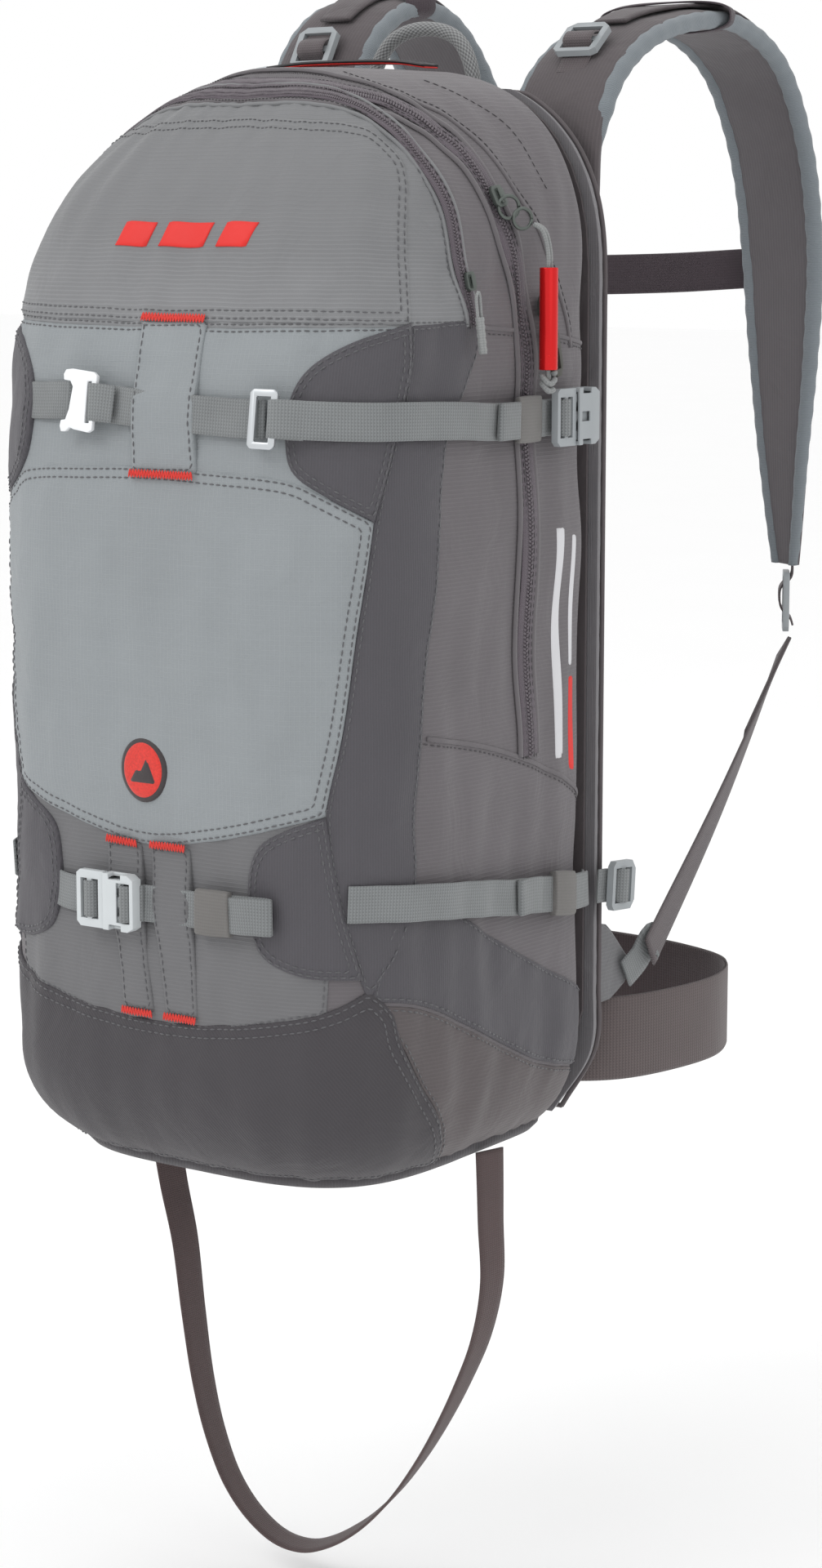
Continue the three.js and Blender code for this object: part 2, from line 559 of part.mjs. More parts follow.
function buildHarness() {
  const right = buildShoulderStrap('right', rightStrapPath, rightTurn);
  const left = buildShoulderStrap('left', leftStrapPath, leftTurn);
  buildTrigger(left);
  buildAdjuster('right', rightStrapPath.at(-1), [143, 52, 96], [0.5, -0.86, 0]);
  buildAdjuster('left', leftStrapPath.at(-1), [-143, 52, 96], [0.5, 0.86, 0]);
  const anchor = sidePrism([[14, 122], [14, 74], [48, 78], [50, 92]], 3).translate(128, 0, 0);
  bothSides('anchor_wing', anchor, fabricGrey);

  const upright = [[0, 0, 1], [0, 0, 1]];
  const chestRight = [[92, 297, 487], [64, 306.5, 486], [20, 283, 483], [-25, 252.2, 481.5], [-57, 246.5, 481]];
  add('chest_strap_right', freeStrip(chestRight, upright, 25, 1.6, 12), webbingDark);
  const chestLeft = [[-100, 241, 480], [-80, 243, 480.5], [-63, 245.5, 481]];
  add('chest_strap_left', freeStrip(chestLeft, upright, 25, 1.6, 8), webbingDark);
  const chestAlong = new THREE.Vector3(0.985, 0.174, 0).normalize();
  const down = new THREE.Vector3(0, 0, -1);
  const chestOut = chestAlong.clone().cross(down);
  const chestAt = new THREE.Vector3(-60, 246, 481).addScaledVector(chestOut, 1.3);
  const chest = frameMatrix(chestAt, chestAlong, down, chestOut);
  add('chest_buckle_housing', housing(), plasticDark, chest);
  add('chest_buckle_plug', plug(), plasticDark, chest);

  const beltPath = [[80, 16.5, 46], [106, 18, 46], [130, 38, 46], [145, 80, 46], [147, 126, 46], [128, 164, 46],
    [86, 184, 46], [40, 190, 46], [3, 190, 46]];
  bothSides('hip_belt', freeStrip(beltPath, upright, BELT_WIDTH, BELT_THICK, 20), webbingDark);
  const hipAt = new THREE.Vector3(0, 190 + BELT_THICK / 2 + 0.5, 46);
  const hip = frameMatrix(hipAt, new THREE.Vector3(1, 0, 0), down, new THREE.Vector3(0, 1, 0));
  add('hip_buckle_housing', housing().scale(...HIP_BUCKLE_SCALE), plasticDark, hip);
  add('hip_buckle_plug', plug().scale(...HIP_BUCKLE_SCALE), plasticDark, hip);
}

function buildTop() {
  const half = [[35, 23.6, 540], [35.5, 24, 575], [34, 26, 600], [22, 27.8, 618.5]];
  const loop = [...half, [0, 28, 624.4], ...flipSides(half).reverse()];
  add('grab_handle', roundTube(loop, 4.2, 34), webbingDark);
  const band = [[-70, -24, 601.5], [-45, -24, 603.5], [-10, -22, 604], [20, -20, 603.2], [36, -18, 601]];
  const flat = [[0, 1, 0], [0, 1, 0]];
  const strap = toSolid(freeStrip(band, flat, 18, 2.4, 8));
  const hook = [[-2, -9], [16, -9], [24, -4], [24, 4], [20, 4], [17, -3], [6, -3], [6, 9], [-2, 9]];
  const along = new THREE.Vector3(-1, 0, -0.12).normalize();
  const across = new THREE.Vector3(0, -1, 0);
  const frame = frameMatrix(new THREE.Vector3(-70, -24, 600), along, across, along.clone().cross(across));
  add('top_strap', toGeometry(strap.add(toSolid(plate(hook, [], 3).applyMatrix4(frame)))), plasticDark);
}

// The leg strap hangs in one loop under the bag, from a ladder-lock on the left to a sewn tab on the right.
const legRoute = [[-117, -75, -28.8], [-112, -75, -55], [-104, -75, -88], [-98, -75, -132], [-91, -75, -174],
  [-82, -75, -206], [-69, -75, -233], [-52, -75, -251], [-33, -75, -261], [-14, -75, -262], [3, -75, -256],
  [27, -75, -240], [49, -75, -218], [67, -75, -194], [83, -75, -168], [98, -75, -139], [111, -75, -108],
  [118, -75, -74], [117, -75, -39.6], [116.5, -75, -16], [116, -75, 2]];
const legTurn = [[0.35, 0.94, 0], [0.3, 0.95, 0], [0.1, 1, 0], [0, 1, 0], [-0.1, 1, 0], [-0.3, 0.95, 0],
  [-0.35, 0.94, 0], [0.3, 0.95, 0]];
function buildLegStrap() {
  add('leg_strap', freeStrip(legRoute, legTurn, WEBBING, 1.6, 60), webbingBrown);
  const across = new THREE.Vector3(0.35, 0.94, 0).normalize();
  const along = new THREE.Vector3(0, 0, -1);
  const normal = along.clone().cross(across);
  const at = new THREE.Vector3(-117.5, -75, -1).addScaledVector(normal, -2);
  const frame = frameMatrix(at, along, across, normal);
  add('leg_strap_lock', ladderLock(WEBBING, 27), plasticDark, frame);
}

buildBag();
buildZips();
buildSliders();
buildTubePull();
buildUpperStrap();
buildLowerStraps();
buildFrame();
buildInflation();
buildHarness();
buildTop();
buildLegStrap();

const shift = new THREE.Group();
pack.position.set(-HAUL_LOOP[0], -HAUL_LOOP[1], -HAUL_LOOP[2]);
shift.add(pack);
shift.updateMatrixWorld(true);
export default shift;
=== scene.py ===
import math

import bmesh
import bpy
import numpy as np
from mathutils import Matrix, Vector, geometry


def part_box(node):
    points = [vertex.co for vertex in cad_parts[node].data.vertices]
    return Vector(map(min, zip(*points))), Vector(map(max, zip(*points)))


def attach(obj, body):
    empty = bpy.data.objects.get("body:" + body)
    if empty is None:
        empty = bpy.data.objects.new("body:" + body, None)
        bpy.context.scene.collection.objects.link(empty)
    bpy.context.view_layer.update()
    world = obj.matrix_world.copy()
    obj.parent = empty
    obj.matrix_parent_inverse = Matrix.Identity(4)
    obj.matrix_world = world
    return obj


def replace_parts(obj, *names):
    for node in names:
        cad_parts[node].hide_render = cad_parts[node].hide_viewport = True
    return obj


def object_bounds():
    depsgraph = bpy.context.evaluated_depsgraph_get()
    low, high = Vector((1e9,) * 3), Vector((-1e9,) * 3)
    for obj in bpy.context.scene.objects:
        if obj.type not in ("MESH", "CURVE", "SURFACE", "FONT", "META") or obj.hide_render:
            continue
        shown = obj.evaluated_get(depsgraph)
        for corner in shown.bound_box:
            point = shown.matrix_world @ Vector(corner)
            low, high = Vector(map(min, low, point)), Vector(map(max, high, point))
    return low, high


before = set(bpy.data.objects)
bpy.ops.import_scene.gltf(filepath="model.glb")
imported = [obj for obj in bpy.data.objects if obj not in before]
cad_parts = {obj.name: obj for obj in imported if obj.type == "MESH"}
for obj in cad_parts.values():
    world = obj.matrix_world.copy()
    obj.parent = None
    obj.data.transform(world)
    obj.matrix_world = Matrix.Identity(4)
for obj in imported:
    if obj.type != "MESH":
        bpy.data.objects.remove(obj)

cad_low, cad_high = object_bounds()

# ---- Drawing frame and camera ----
# The pack is drawn in millimetres: x to the wearer's right, y zero where the bag meets the
# back panel and negative to the front, z zero at the bag's foot.
MM = 0.001
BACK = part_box("main_bag")[1].y
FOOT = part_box("main_bag")[0].z
CAMERA_TURN = math.radians(35)
CAMERA_RISE = math.radians(9.5)


def place(points):
    """Points of the drawing, in metres in the frame."""
    return np.atleast_2d(np.asarray(points, float)) * MM + np.array([0, BACK, FOOT])


camera_data = bpy.data.cameras.new("camera")
camera_data.lens = 77.6
camera_data.sensor_width = 36
camera = bpy.data.objects.new("camera", camera_data)
bpy.context.scene.collection.objects.link(camera)
camera.location = (1.13255, -1.63159, -0.10287)
backwards = Vector((math.sin(CAMERA_TURN) * math.cos(CAMERA_RISE),
                    -math.cos(CAMERA_TURN) * math.cos(CAMERA_RISE), math.sin(CAMERA_RISE)))
camera.rotation_mode = "QUATERNION"
camera.rotation_quaternion = (-backwards).to_track_quat("-Z", "Y")
bpy.context.scene.camera = camera


# ---- Leg strap ----
# One 20 mm polyester webbing that hangs in a loop under the bag, from a ladder-lock on the
# left to a sewn tab on the right. The wearer passes it between the legs and hooks it in front.
class Wire:
    """A value in a material. Arithmetic on it adds Math nodes."""

    def __init__(self, finish, socket):
        self.finish = finish
        self.socket = socket

    def math(self, operation, *others):
        return self.finish.node("Math", {"operation": operation}, [self, *others])

    def __add__(self, other):
        return self.math("ADD", other)

    def __sub__(self, other):
        return self.math("SUBTRACT", other)

    def __rsub__(self, other):
        return self.finish.node("Math", {"operation": "SUBTRACT"}, [other, self])

    def __mul__(self, other):
        return self.math("MULTIPLY", other)

    def __truediv__(self, other):
        return self.math("DIVIDE", other)

    def __pow__(self, other):
        return self.math("POWER", other)

    __radd__ = __add__
    __rmul__ = __mul__

    def wave(self, pitch):
        """0 to 1 and back once in each pitch."""
        return (self * (2 * math.pi / pitch)).math("SINE") * 0.5 + 0.5

    def between(self, low, high):
        """0 below low, 1 above high, smooth between."""
        settings = {"interpolation_type": "SMOOTHSTEP"}
        return self.finish.node("MapRange", settings, {"Value": self, "From Min": low, "From Max": high})


def linear(colour, share=1.0):
    """An sRGB colour of 0 to 255 as linear light, times a share."""
    light = [((c / 255 + 0.055) / 1.055) ** 2.4 if c > 10 else c / 255 / 12.92 for c in colour]
    return (*[min(value * share, 1.0) for value in light], 1.0)


class Finish:
    """A material that is built up from nodes; fixed numbers stay on the shader's own sockets."""

    def __init__(self, name, roughness=0.8, **fixed):
        self.material = bpy.data.materials.new(name)
        self.material.use_nodes = True
        self.tree = self.material.node_tree
        self.shader = self.tree.nodes["Principled BSDF"]
        self.shader.inputs["Roughness"].default_value = roughness
        for socket, value in fixed.items():
            self.shader.inputs[socket.replace("_", " ")].default_value = value

    def feed(self, socket, value):
        if isinstance(value, Wire):
            self.tree.links.new(value.socket, socket)
        else:
            socket.default_value = value

    def node(self, kind, settings=None, inputs=(), out=0):
        node = self.tree.nodes.new("ShaderNode" + kind)
        for key, value in (settings or {}).items():
            setattr(node, key, value)
        for key, value in inputs.items() if isinstance(inputs, dict) else enumerate(inputs):
            self.feed(node.inputs[key], value)
        return Wire(self, node.outputs[out])

    def cloth(self):
        """Distances in millimetres along and across the cloth, from the piece's own UV map."""
        split = self.node("SeparateXYZ", None, [self.node("TexCoord", None, (), "UV")])
        return split * 1000, Wire(self, split.socket.node.outputs[1]) * 1000

    def body(self):
        return self.node("TexCoord", None, (), "Object")

    def noise(self, where, scale, detail=3):
        return self.node("TexNoise", None, {"Vector": where, "Scale": scale, "Detail": detail})

    def mix(self, share, low, high):
        return self.node("Mix", {"data_type": "RGBA"}, {0: share, 6: low, 7: high}, 2)

    def colour(self, wire):
        self.feed(self.shader.inputs["Base Color"], wire)

    def rough(self, wire):
        self.feed(self.shader.inputs["Roughness"], wire)

    def bump(self, height, strength=0.4, distance=0.0004):
        inputs = {"Height": height, "Strength": strength, "Distance": distance}
        self.feed(self.shader.inputs["Normal"], self.node("Bump", None, inputs))
        return self.material


def webbing_finish(name, colour, rib=1.3, chevron=0.0, contrast=0.28, sheen=0.15):
    """Woven webbing: raised ribs across the strap, columns of thread along it, worn paler here and there."""
    finish = Finish(name, 0.78, Sheen_Weight=sheen, Sheen_Roughness=0.5)
    along, across = finish.cloth()
    columns = across.wave(1.7)
    ribs = (along + chevron * columns + columns * 0.5).wave(rib)
    patches = finish.noise(finish.body(), 38)
    weave = ribs * 0.65 + columns * 0.35
    shade = weave * 0.7 + patches * 0.5
    finish.colour(finish.mix(shade, linear(colour, 1 - contrast), linear(colour, 1 + contrast)))
    finish.rough(0.72 + patches * 0.16)
    return finish.bump(weave, 0.55, 0.0005)


def smooth_line(points, step):
    """Points every step along a smooth curve through the given ones. Extra columns go with them."""
    given = np.asarray(points, float)
    ends = np.vstack([2 * given[0] - given[1], given, 2 * given[-1] - given[-2]])
    dense = [given[:1]]
    for a, b, c, d in zip(ends, ends[1:], ends[2:], ends[3:]):
        knots = np.cumsum([0] + [max(np.linalg.norm((q - p)[:3]), 1e-6) ** 0.5 for p, q in ((a, b), (b, c), (c, d))])
        t = np.linspace(knots[1], knots[2], 25)[1:, None]
        first = [((knots[i + 1] - t) * p + (t - knots[i]) * q) / (knots[i + 1] - knots[i])
                 for i, (p, q) in enumerate(((a, b), (b, c), (c, d)))]
        second = [((knots[i + 2] - t) * first[i] + (t - knots[i]) * first[i + 1]) / (knots[i + 2] - knots[i])
                  for i in (0, 1)]
        dense.append(((knots[2] - t) * second[0] + (t - knots[1]) * second[1]) / (knots[2] - knots[1]))
    return spaced(np.vstack(dense), step)


def spaced(line, step):
    """The same line with points an even step apart."""
    run = np.r_[0, np.cumsum(np.linalg.norm(np.diff(line[:, :3], axis=0), axis=1))]
    count = max(int(round(run[-1] / step)), 2)
    at = np.linspace(0, run[-1], count + 1)
    return np.stack([np.interp(at, run, column) for column in line.T], 1)


def unit(vectors):
    return vectors / np.maximum(np.linalg.norm(vectors, axis=-1, keepdims=True), 1e-12)


def tangents(line):
    return unit(np.gradient(line, axis=0))


def new_piece(name, points, faces, material, uv=None, smooth=True, turn=True):
    """A mesh object in metres in the frame, with its faces pointing out. uv is per face corner."""
    mesh = bpy.data.meshes.new(name)
    mesh.from_pydata([tuple(p) for p in points], [], [tuple(int(i) for i in f) for f in faces])
    if uv is not None:
        layer = mesh.uv_layers.new(name="UVMap")
        layer.data.foreach_set("uv", np.asarray(uv, np.float32).ravel())
    if turn:
        work = bmesh.new()
        work.from_mesh(mesh)
        bmesh.ops.recalc_face_normals(work, faces=work.faces)
        work.to_mesh(mesh)
        work.free()
    mesh.polygons.foreach_set("use_smooth", [smooth] * len(mesh.polygons))
    mesh.materials.append(material)
    piece = bpy.data.objects.new(name, mesh)
    bpy.context.scene.collection.objects.link(piece)
    return piece


def loft(name, centres, sides, outs, sections, material, flat_uv=True, smooth=True):
    """A closed tube. sections holds (side, out) points for each centre, all in millimetres."""
    rings = centres[:, None] + sections[..., :1] * sides[:, None] + sections[..., 1:] * outs[:, None]
    count, corners = rings.shape[:2]
    index = np.arange(count * corners).reshape(count, corners)
    after = np.roll(index, -1, axis=1)
    quads = np.stack([index[:-1], after[:-1], after[1:], index[1:]], -1).reshape(-1, 4)
    run = np.r_[0, np.cumsum(np.linalg.norm(np.diff(centres, axis=0), axis=1))]
    edge = np.linalg.norm(np.diff(np.vstack([sections[0], sections[0][:1]]), axis=0), axis=1)
    girth = np.r_[0, np.cumsum(edge)]
    low = np.repeat(sections[..., :1], 1, -1)[..., 0] if flat_uv else np.tile(girth[:-1], (count, 1))
    high = np.roll(low, -1, axis=1) if flat_uv else np.tile(girth[1:], (count, 1))
    u0, u1 = np.repeat(run[:-1, None], corners, 1), np.repeat(run[1:, None], corners, 1)
    uv = np.stack([np.stack([u0, low[:-1]], -1), np.stack([u0, high[:-1]], -1),
                   np.stack([u1, high[1:]], -1), np.stack([u1, low[1:]], -1)], 2).reshape(-1, 2)
    faces = [*quads, index[0][::-1], index[-1]]
    uv = np.vstack([uv, np.stack([np.zeros(corners), low[0][::-1]], -1),
                    np.stack([np.full(corners, run[-1]), low[-1]], -1)]) * MM
    return new_piece(name, place(rings.reshape(-1, 3)), faces, material, uv, smooth)


def flat_section(width, thickness, crown=0.0):
    """The outline of webbing: thin, with rounded selvedges."""
    half, edge = width / 2, thickness / 2
    across = np.array([-1, -0.94, -0.5, 0, 0.5, 0.94, 1]) * half
    upper = np.array([0, edge, edge + crown, edge + crown, edge + crown, edge, 0])
    top = np.stack([across, upper], 1)
    return np.vstack([top, np.stack([across[-2:0:-1], -np.full(5, edge)], 1)])


def webbing(name, centres, sides, width, thickness, material):
    """Flat webbing along a line, its width in the given side directions."""
    ahead = tangents(centres)
    sides = unit(sides - ahead * np.sum(sides * ahead, 1, keepdims=True))
    section = np.repeat(flat_section(width, thickness)[None], len(centres), 0)
    return loft(name, centres, sides, np.cross(sides, ahead), section, material)


LEG_WIDTH = 20
LEG_THICK = 1.6
leg_route = [
    (-117, -75, -28.8), (-112, -75, -55), (-104, -75, -88), (-98, -75, -132), (-91, -75, -174), (-82, -75, -206),
    (-69, -75, -233), (-52, -75, -251), (-33, -75, -261), (-14, -75, -262), (3, -75, -256), (27, -75, -240),
    (49, -75, -218), (67, -75, -194), (83, -75, -168), (98, -75, -139), (111, -75, -108), (118, -75, -74),
    (117, -75, -39.6), (116.5, -75, -16), (116, -75, 2)]
leg_turn = [(0.35, 0.94, 0), (0.3, 0.95, 0), (0.1, 1, 0), (0, 1, 0), (-0.1, 1, 0), (-0.3, 0.95, 0),
            (-0.35, 0.94, 0), (0.3, 0.95, 0)]
leg_line = smooth_line(leg_route, 3)
turn_line = smooth_line(leg_turn, 0.01)
turn_share = np.linspace(0, len(turn_line) - 1, len(leg_line))
leg_sides = unit(np.stack([np.interp(turn_share, range(len(turn_line)), c) for c in turn_line.T], 1))
webbing_brown = webbing_finish("webbing_brown", (74, 60, 60), contrast=0.35)
leg_strap = webbing("leg_strap_webbing", leg_line, leg_sides, LEG_WIDTH, LEG_THICK, webbing_brown)
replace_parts(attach(leg_strap, "root"), "leg_strap")


# ---- Bag shell ----
# The sewn body of the pack: coated grey nylon over a foam lining, a rounded D in section, drawn
# in at the top and foot. Every panel, zip and strap lies on this surface.
HEIGHT = 598
HALF_WIDTH = 137
DEPTH = 228
FOOT_ROUND = 62
FOOT_TUCK = 48
UPPER_STRAP_Z = 415
LOWER_STRAP_Z = 156


def quarter(t, power=2):
    return (1 - np.clip(t, 0, 1) ** power) ** (1 / power)


def bag_sizes(z):
    """Depth, the depth of its widest place, and half widths at front and back, at each height."""
    tuck = FOOT_TUCK * (1 - quarter((FOOT_ROUND - z) / FOOT_ROUND))
    front = np.where(z > 455, HALF_WIDTH * quarter((z - 455) / 145), HALF_WIDTH - tuck)
    back = np.where(z > 480, HALF_WIDTH * quarter((z - 480) / 120, 2.6), HALF_WIDTH - tuck)
    depth = np.where(z > 360, 85 + (DEPTH - 85) * quarter((z - 360) / 240), DEPTH - 1.15 * tuck)
    return depth, np.minimum(95, depth * 0.42), front, back


def section_point(angle, z):
    depth, waist, front, back = bag_sizes(z)
    power = np.where(np.sin(angle) >= 0, 3.6, 9.0)
    reach = (np.abs(np.cos(angle)) ** power + np.abs(np.sin(angle)) ** power) ** (-1 / power)
    along = reach * np.sin(angle)
    y = np.where(along >= 0, -waist - (depth - waist) * along, -waist - waist * along)
    share = np.clip(-y / depth, 0, 1)
    share = share * share * (3 - 2 * share)
    return np.stack([reach * np.cos(angle) * (back * (1 - share) + front * share), y, z + 0 * y], -1)


section_angles = np.linspace(math.pi / 2, -math.pi / 2, 2000)
section_line = section_point(section_angles, np.full(2000, 250.0))
section_run = np.r_[0, np.cumsum(np.linalg.norm(np.diff(section_line, axis=0), axis=1))]
HALF_GIRTH = section_run[-1]


def bare(w, z):
    """A place on the plain surface: w is the distance round from the front's middle, right positive."""
    angle = np.interp(np.abs(w), section_run, section_angles)
    point = section_point(angle, z)
    point[..., 0] *= np.where(w < 0, -1, 1)
    return point


chance = np.random.default_rng(7)
ripple_waves = chance.normal(size=(9, 2))
ripple_waves = unit(ripple_waves) * (0.7 + 0.6 * chance.random((9, 1)))
ripple_starts = chance.random((12, 9)) * 2 * math.pi


def ripple(w, z, size, seed):
    """Soft uneven folds of about that size, from -1 to 1."""
    turned = ripple_waves if seed % 2 else ripple_waves[:, ::-1] * [1, -1]
    waves = [np.sin(2 * math.pi * (a * w + b * z) / size + start) for (a, b), start in
             zip(turned, ripple_starts[seed % 12])]
    return np.sum(waves, 0) / 4.2


def sag(w, z):
    """How far the filled fabric stands from the plain surface, in millimetres."""
    fade = np.clip(z / 40, 0, 1) * np.clip((HEIGHT - z) / 40, 0, 1)
    away = np.abs(np.abs(w) - 205)
    folds = 1.1 * ripple(w, z, 95, 1) + 0.8 * ripple(w * 1.5, z * 0.7, 44, 2)
    cinched = -1.4 * np.exp(-((z - UPPER_STRAP_Z) / 20) ** 2) - 1.4 * np.exp(-((z - LOWER_STRAP_Z) / 20) ** 2)
    flank = 1.5 * np.exp(-(away / 70) ** 2) * ripple(w * 2.2, z * 0.5, 60, 3)
    return fade * (folds + cinched + flank)


def skin(w, z, lift=0.0):
    """Places at a height above the fabric, and the outward normals there."""
    w, z = np.broadcast_arrays(np.asarray(w, float), np.asarray(z, float))
    inside = np.clip(z, 0.6, HEIGHT - 0.6)
    round_way = bare(w + 0.5, inside) - bare(w - 0.5, inside)
    up_way = bare(w, inside + 0.5) - bare(w, inside - 0.5)
    normal = unit(np.cross(round_way, up_way))
    centre = np.stack([0 * w, 0 * w - 90, 0.6 * z + 110], -1)
    point = bare(w, z)
    normal *= np.where(np.sum(normal * (point - centre), -1, keepdims=True) < 0, -1, 1)
    return point + normal * (sag(w, z) + lift)[..., None], normal


def on_bag(points):
    """(w, z) of the places on the bag nearest to drawing points, each taken at its own height."""
    found = []
    for x, y, z in points:
        w = np.linspace(0, HALF_GIRTH, 1600)
        ring = bare(w, np.full(1600, float(z)))
        gap = (0 if x is None else (ring[:, 0] - abs(x)) ** 2) + (0 if y is None else (ring[:, 1] - y) ** 2)
        if y is None:
            gap = gap + np.where(ring[:, 1] > -bag_sizes(np.array(float(z)))[1], 1e6, 0)
        found.append((w[np.argmin(gap)] * (-1 if (x or 1) < 0 else 1), z))
    return np.array(found)


def front(*points):
    return on_bag([(x, None, z) for x, z in points])


def side(*points):
    return on_bag([(None, y, z) for y, z in points])


def flipped(line):
    return (np.asarray(line) * [-1, 1])[::-1]


def fabric_finish(name, colour, weave, contrast=0.16, sheen=0.12, roughness=0.7, painted_top_shade=0.0):
    """Coated nylon: fine threads both ways, a raised grid or ribs, soft colour changes from wear, and, when asked,
    painted shade that darkens the piece towards its top.
    """
    finish = Finish(name, roughness, Sheen_Weight=sheen, Sheen_Roughness=0.45)
    along, across = finish.cloth()
    threads = along.wave(0.7) * 0.5 + across.wave(0.7) * 0.5
    if weave == "grid":
        raised = along.wave(2.6).between(0.9, 1.0).math("MAXIMUM", across.wave(2.6).between(0.9, 1.0))
    elif weave == "ribs":
        raised = across.wave(2.2).between(0.55, 0.95)
    elif weave == "columns":
        raised = along.wave(1.5).between(0.5, 0.95)
    else:
        raised = (along + across * 0.8).wave(2.1).between(0.45, 0.9)
    patches = finish.noise(finish.body(), 14, 4)
    rubbed = finish.noise(finish.body(), 55, 2)
    creases = finish.node("TexNoise", None, {"Vector": finish.body(), "Scale": 26, "Detail": 4, "Distortion": 1.2})
    shade = raised * 0.34 + threads * 0.16 + patches * 0.7 + rubbed * 0.2 + creases * 0.25 - 0.32
    if painted_top_shade:
        # Painted shade: the colour gets darker towards the top of the piece with its height, standing in for how the
        # light falls on it.
        height = finish.node("SeparateXYZ", None, [finish.body()], 2)
        shade = shade - height.between(-0.17, -0.04) * painted_top_shade
    finish.colour(finish.mix(shade, linear(colour, 1 - contrast), linear(colour, 1 + contrast)))
    finish.rough(roughness - 0.08 + patches * 0.18)
    return finish.bump(raised * 0.12 + threads * 0.07 + rubbed * 0.12 + creases * 2.2, 0.55, 0.0016)


fabric_grey = fabric_finish("fabric_grey", (98, 94, 97), "ribs")
top_rows = HEIGHT - 118 * (1 - np.sin(np.linspace(0, math.pi / 2, 38)))
foot_rows = FOOT_ROUND * (1 - np.cos(np.linspace(0, math.pi / 2, 18)))
shell_rows = np.r_[foot_rows[:-1], np.arange(FOOT_ROUND, 480, 5.5), top_rows]
shell_columns = np.linspace(-HALF_GIRTH, HALF_GIRTH, 181)[:-1]
w_grid, z_grid = np.meshgrid(shell_columns, shell_rows)
shell_points = skin(w_grid, z_grid)[0]
closing = [(0.8, 0.5), (0.55, 1.1), (0.3, 1.5), (0.1, 1.7)]


def closed_end(ring, way):
    """Rings that close the shell's flat end, slightly crowned."""
    middle = ring.mean(0)
    return [middle + (ring - middle) * share + [0, 0, way * rise] for share, rise in closing]


shell_rings = [*closed_end(shell_points[0], -1)[::-1], *shell_points, *closed_end(shell_points[-1], 1)]
shell_all = np.array(shell_rings)
ring_count, ring_size = shell_all.shape[:2]
shell_index = np.arange(ring_count * ring_size).reshape(ring_count, ring_size)
shell_next = np.roll(shell_index, -1, axis=1)
shell_quads = np.stack([shell_index[:-1], shell_next[:-1], shell_next[1:], shell_index[1:]], -1).reshape(-1, 4)
shell_heights = np.r_[-4, -3, -2, -1, shell_rows, HEIGHT + np.arange(1, 5)]
shell_w = np.r_[shell_columns, HALF_GIRTH]
shell_uv = []
for row in range(ring_count - 1):
    for column in range(ring_size):
        for c, r in ((column, row), (column + 1, row), (column + 1, row + 1), (column, row + 1)):
            shell_uv.append((shell_w[c], shell_heights[r]))
for row, height in ((0, -4), (-1, HEIGHT + 4)):
    shell_uv += [(w, height) for w in shell_w[:-1]]
bag_shell = new_piece("bag_shell", place(shell_all.reshape(-1, 3)),
                      [*shell_quads, shell_index[0], shell_index[-1]], fabric_grey, np.array(shell_uv) * MM)
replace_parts(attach(bag_shell, "root"), "main_bag")


# ---- Fabric panels ----
# Cut pieces of nylon sewn over the shell: a light ripstop front, dark reinforced corners and wings
# that the straps come out of, and a twill base. Their edges are turned in and topstitched.
def smooth_rim(*runs):
    """A closed outline in (w, z): smooth along each run, with corners where runs meet."""
    sides_of_rim = []
    for run in runs:
        run = np.asarray(run, float)
        line = smooth_line(np.c_[run, np.zeros(len(run))], 3)[:, :2] if len(run) > 2 else spaced_flat(run)
        sides_of_rim.append(line[:-1])
    return np.vstack(sides_of_rim)


def spaced_flat(run):
    return spaced(np.c_[run, np.zeros(len(run))], 3)[:, :2]


def chained(*runs):
    """Runs whose ends are joined up, so that each starts where the last one stopped."""
    linked = []
    for i, run in enumerate(runs):
        following = runs[(i + 1) % len(runs)]
        linked.append(np.vstack([run, following[:1]]))
    return smooth_rim(*linked)


def inside_rim(points, rim):
    a, b = rim, np.roll(rim, -1, axis=0)
    crossed = (a[:, 1] > points[:, 1:2]) != (b[:, 1] > points[:, 1:2])
    at = a[:, 0] + (points[:, 1:2] - a[:, 1]) * (b[:, 0] - a[:, 0]) / np.where(b[:, 1] == a[:, 1], 1e-9, b[:, 1] - a[:, 1])
    return np.sum(crossed & (points[:, :1] < at), 1) % 2 == 1


def rim_distance(points, rim):
    """How far each point is from the rim, and how far round the rim its nearest place is."""
    a = rim
    step = np.roll(rim, -1, axis=0) - a
    run = np.r_[0, np.cumsum(np.linalg.norm(step, axis=1))][:-1]
    offset = points[:, None] - a
    t = np.clip(np.sum(offset * step, -1) / np.maximum(np.sum(step * step, -1), 1e-9), 0, 1)
    gap = np.linalg.norm(offset - t[..., None] * step, axis=-1)
    nearest = np.argmin(gap, 1)
    rows = np.arange(len(points))
    return gap[rows, nearest], run[nearest] + t[rows, nearest] * np.linalg.norm(step, axis=1)[nearest]


def inset_rim(rim, inset):
    """The rim moved inwards, without the places where it would cross itself."""
    ahead = unit(np.roll(rim, -1, axis=0) - np.roll(rim, 1, axis=0))
    normal = np.stack([-ahead[:, 1], ahead[:, 0]], 1)
    area = np.sum(rim[:, 0] * np.roll(rim[:, 1], -1) - np.roll(rim[:, 0], -1) * rim[:, 1])
    moved = rim + normal * inset * np.sign(area)
    gap, _ = rim_distance(moved, rim)
    return moved[(gap > 0.93 * inset) & inside_rim(moved, rim)]


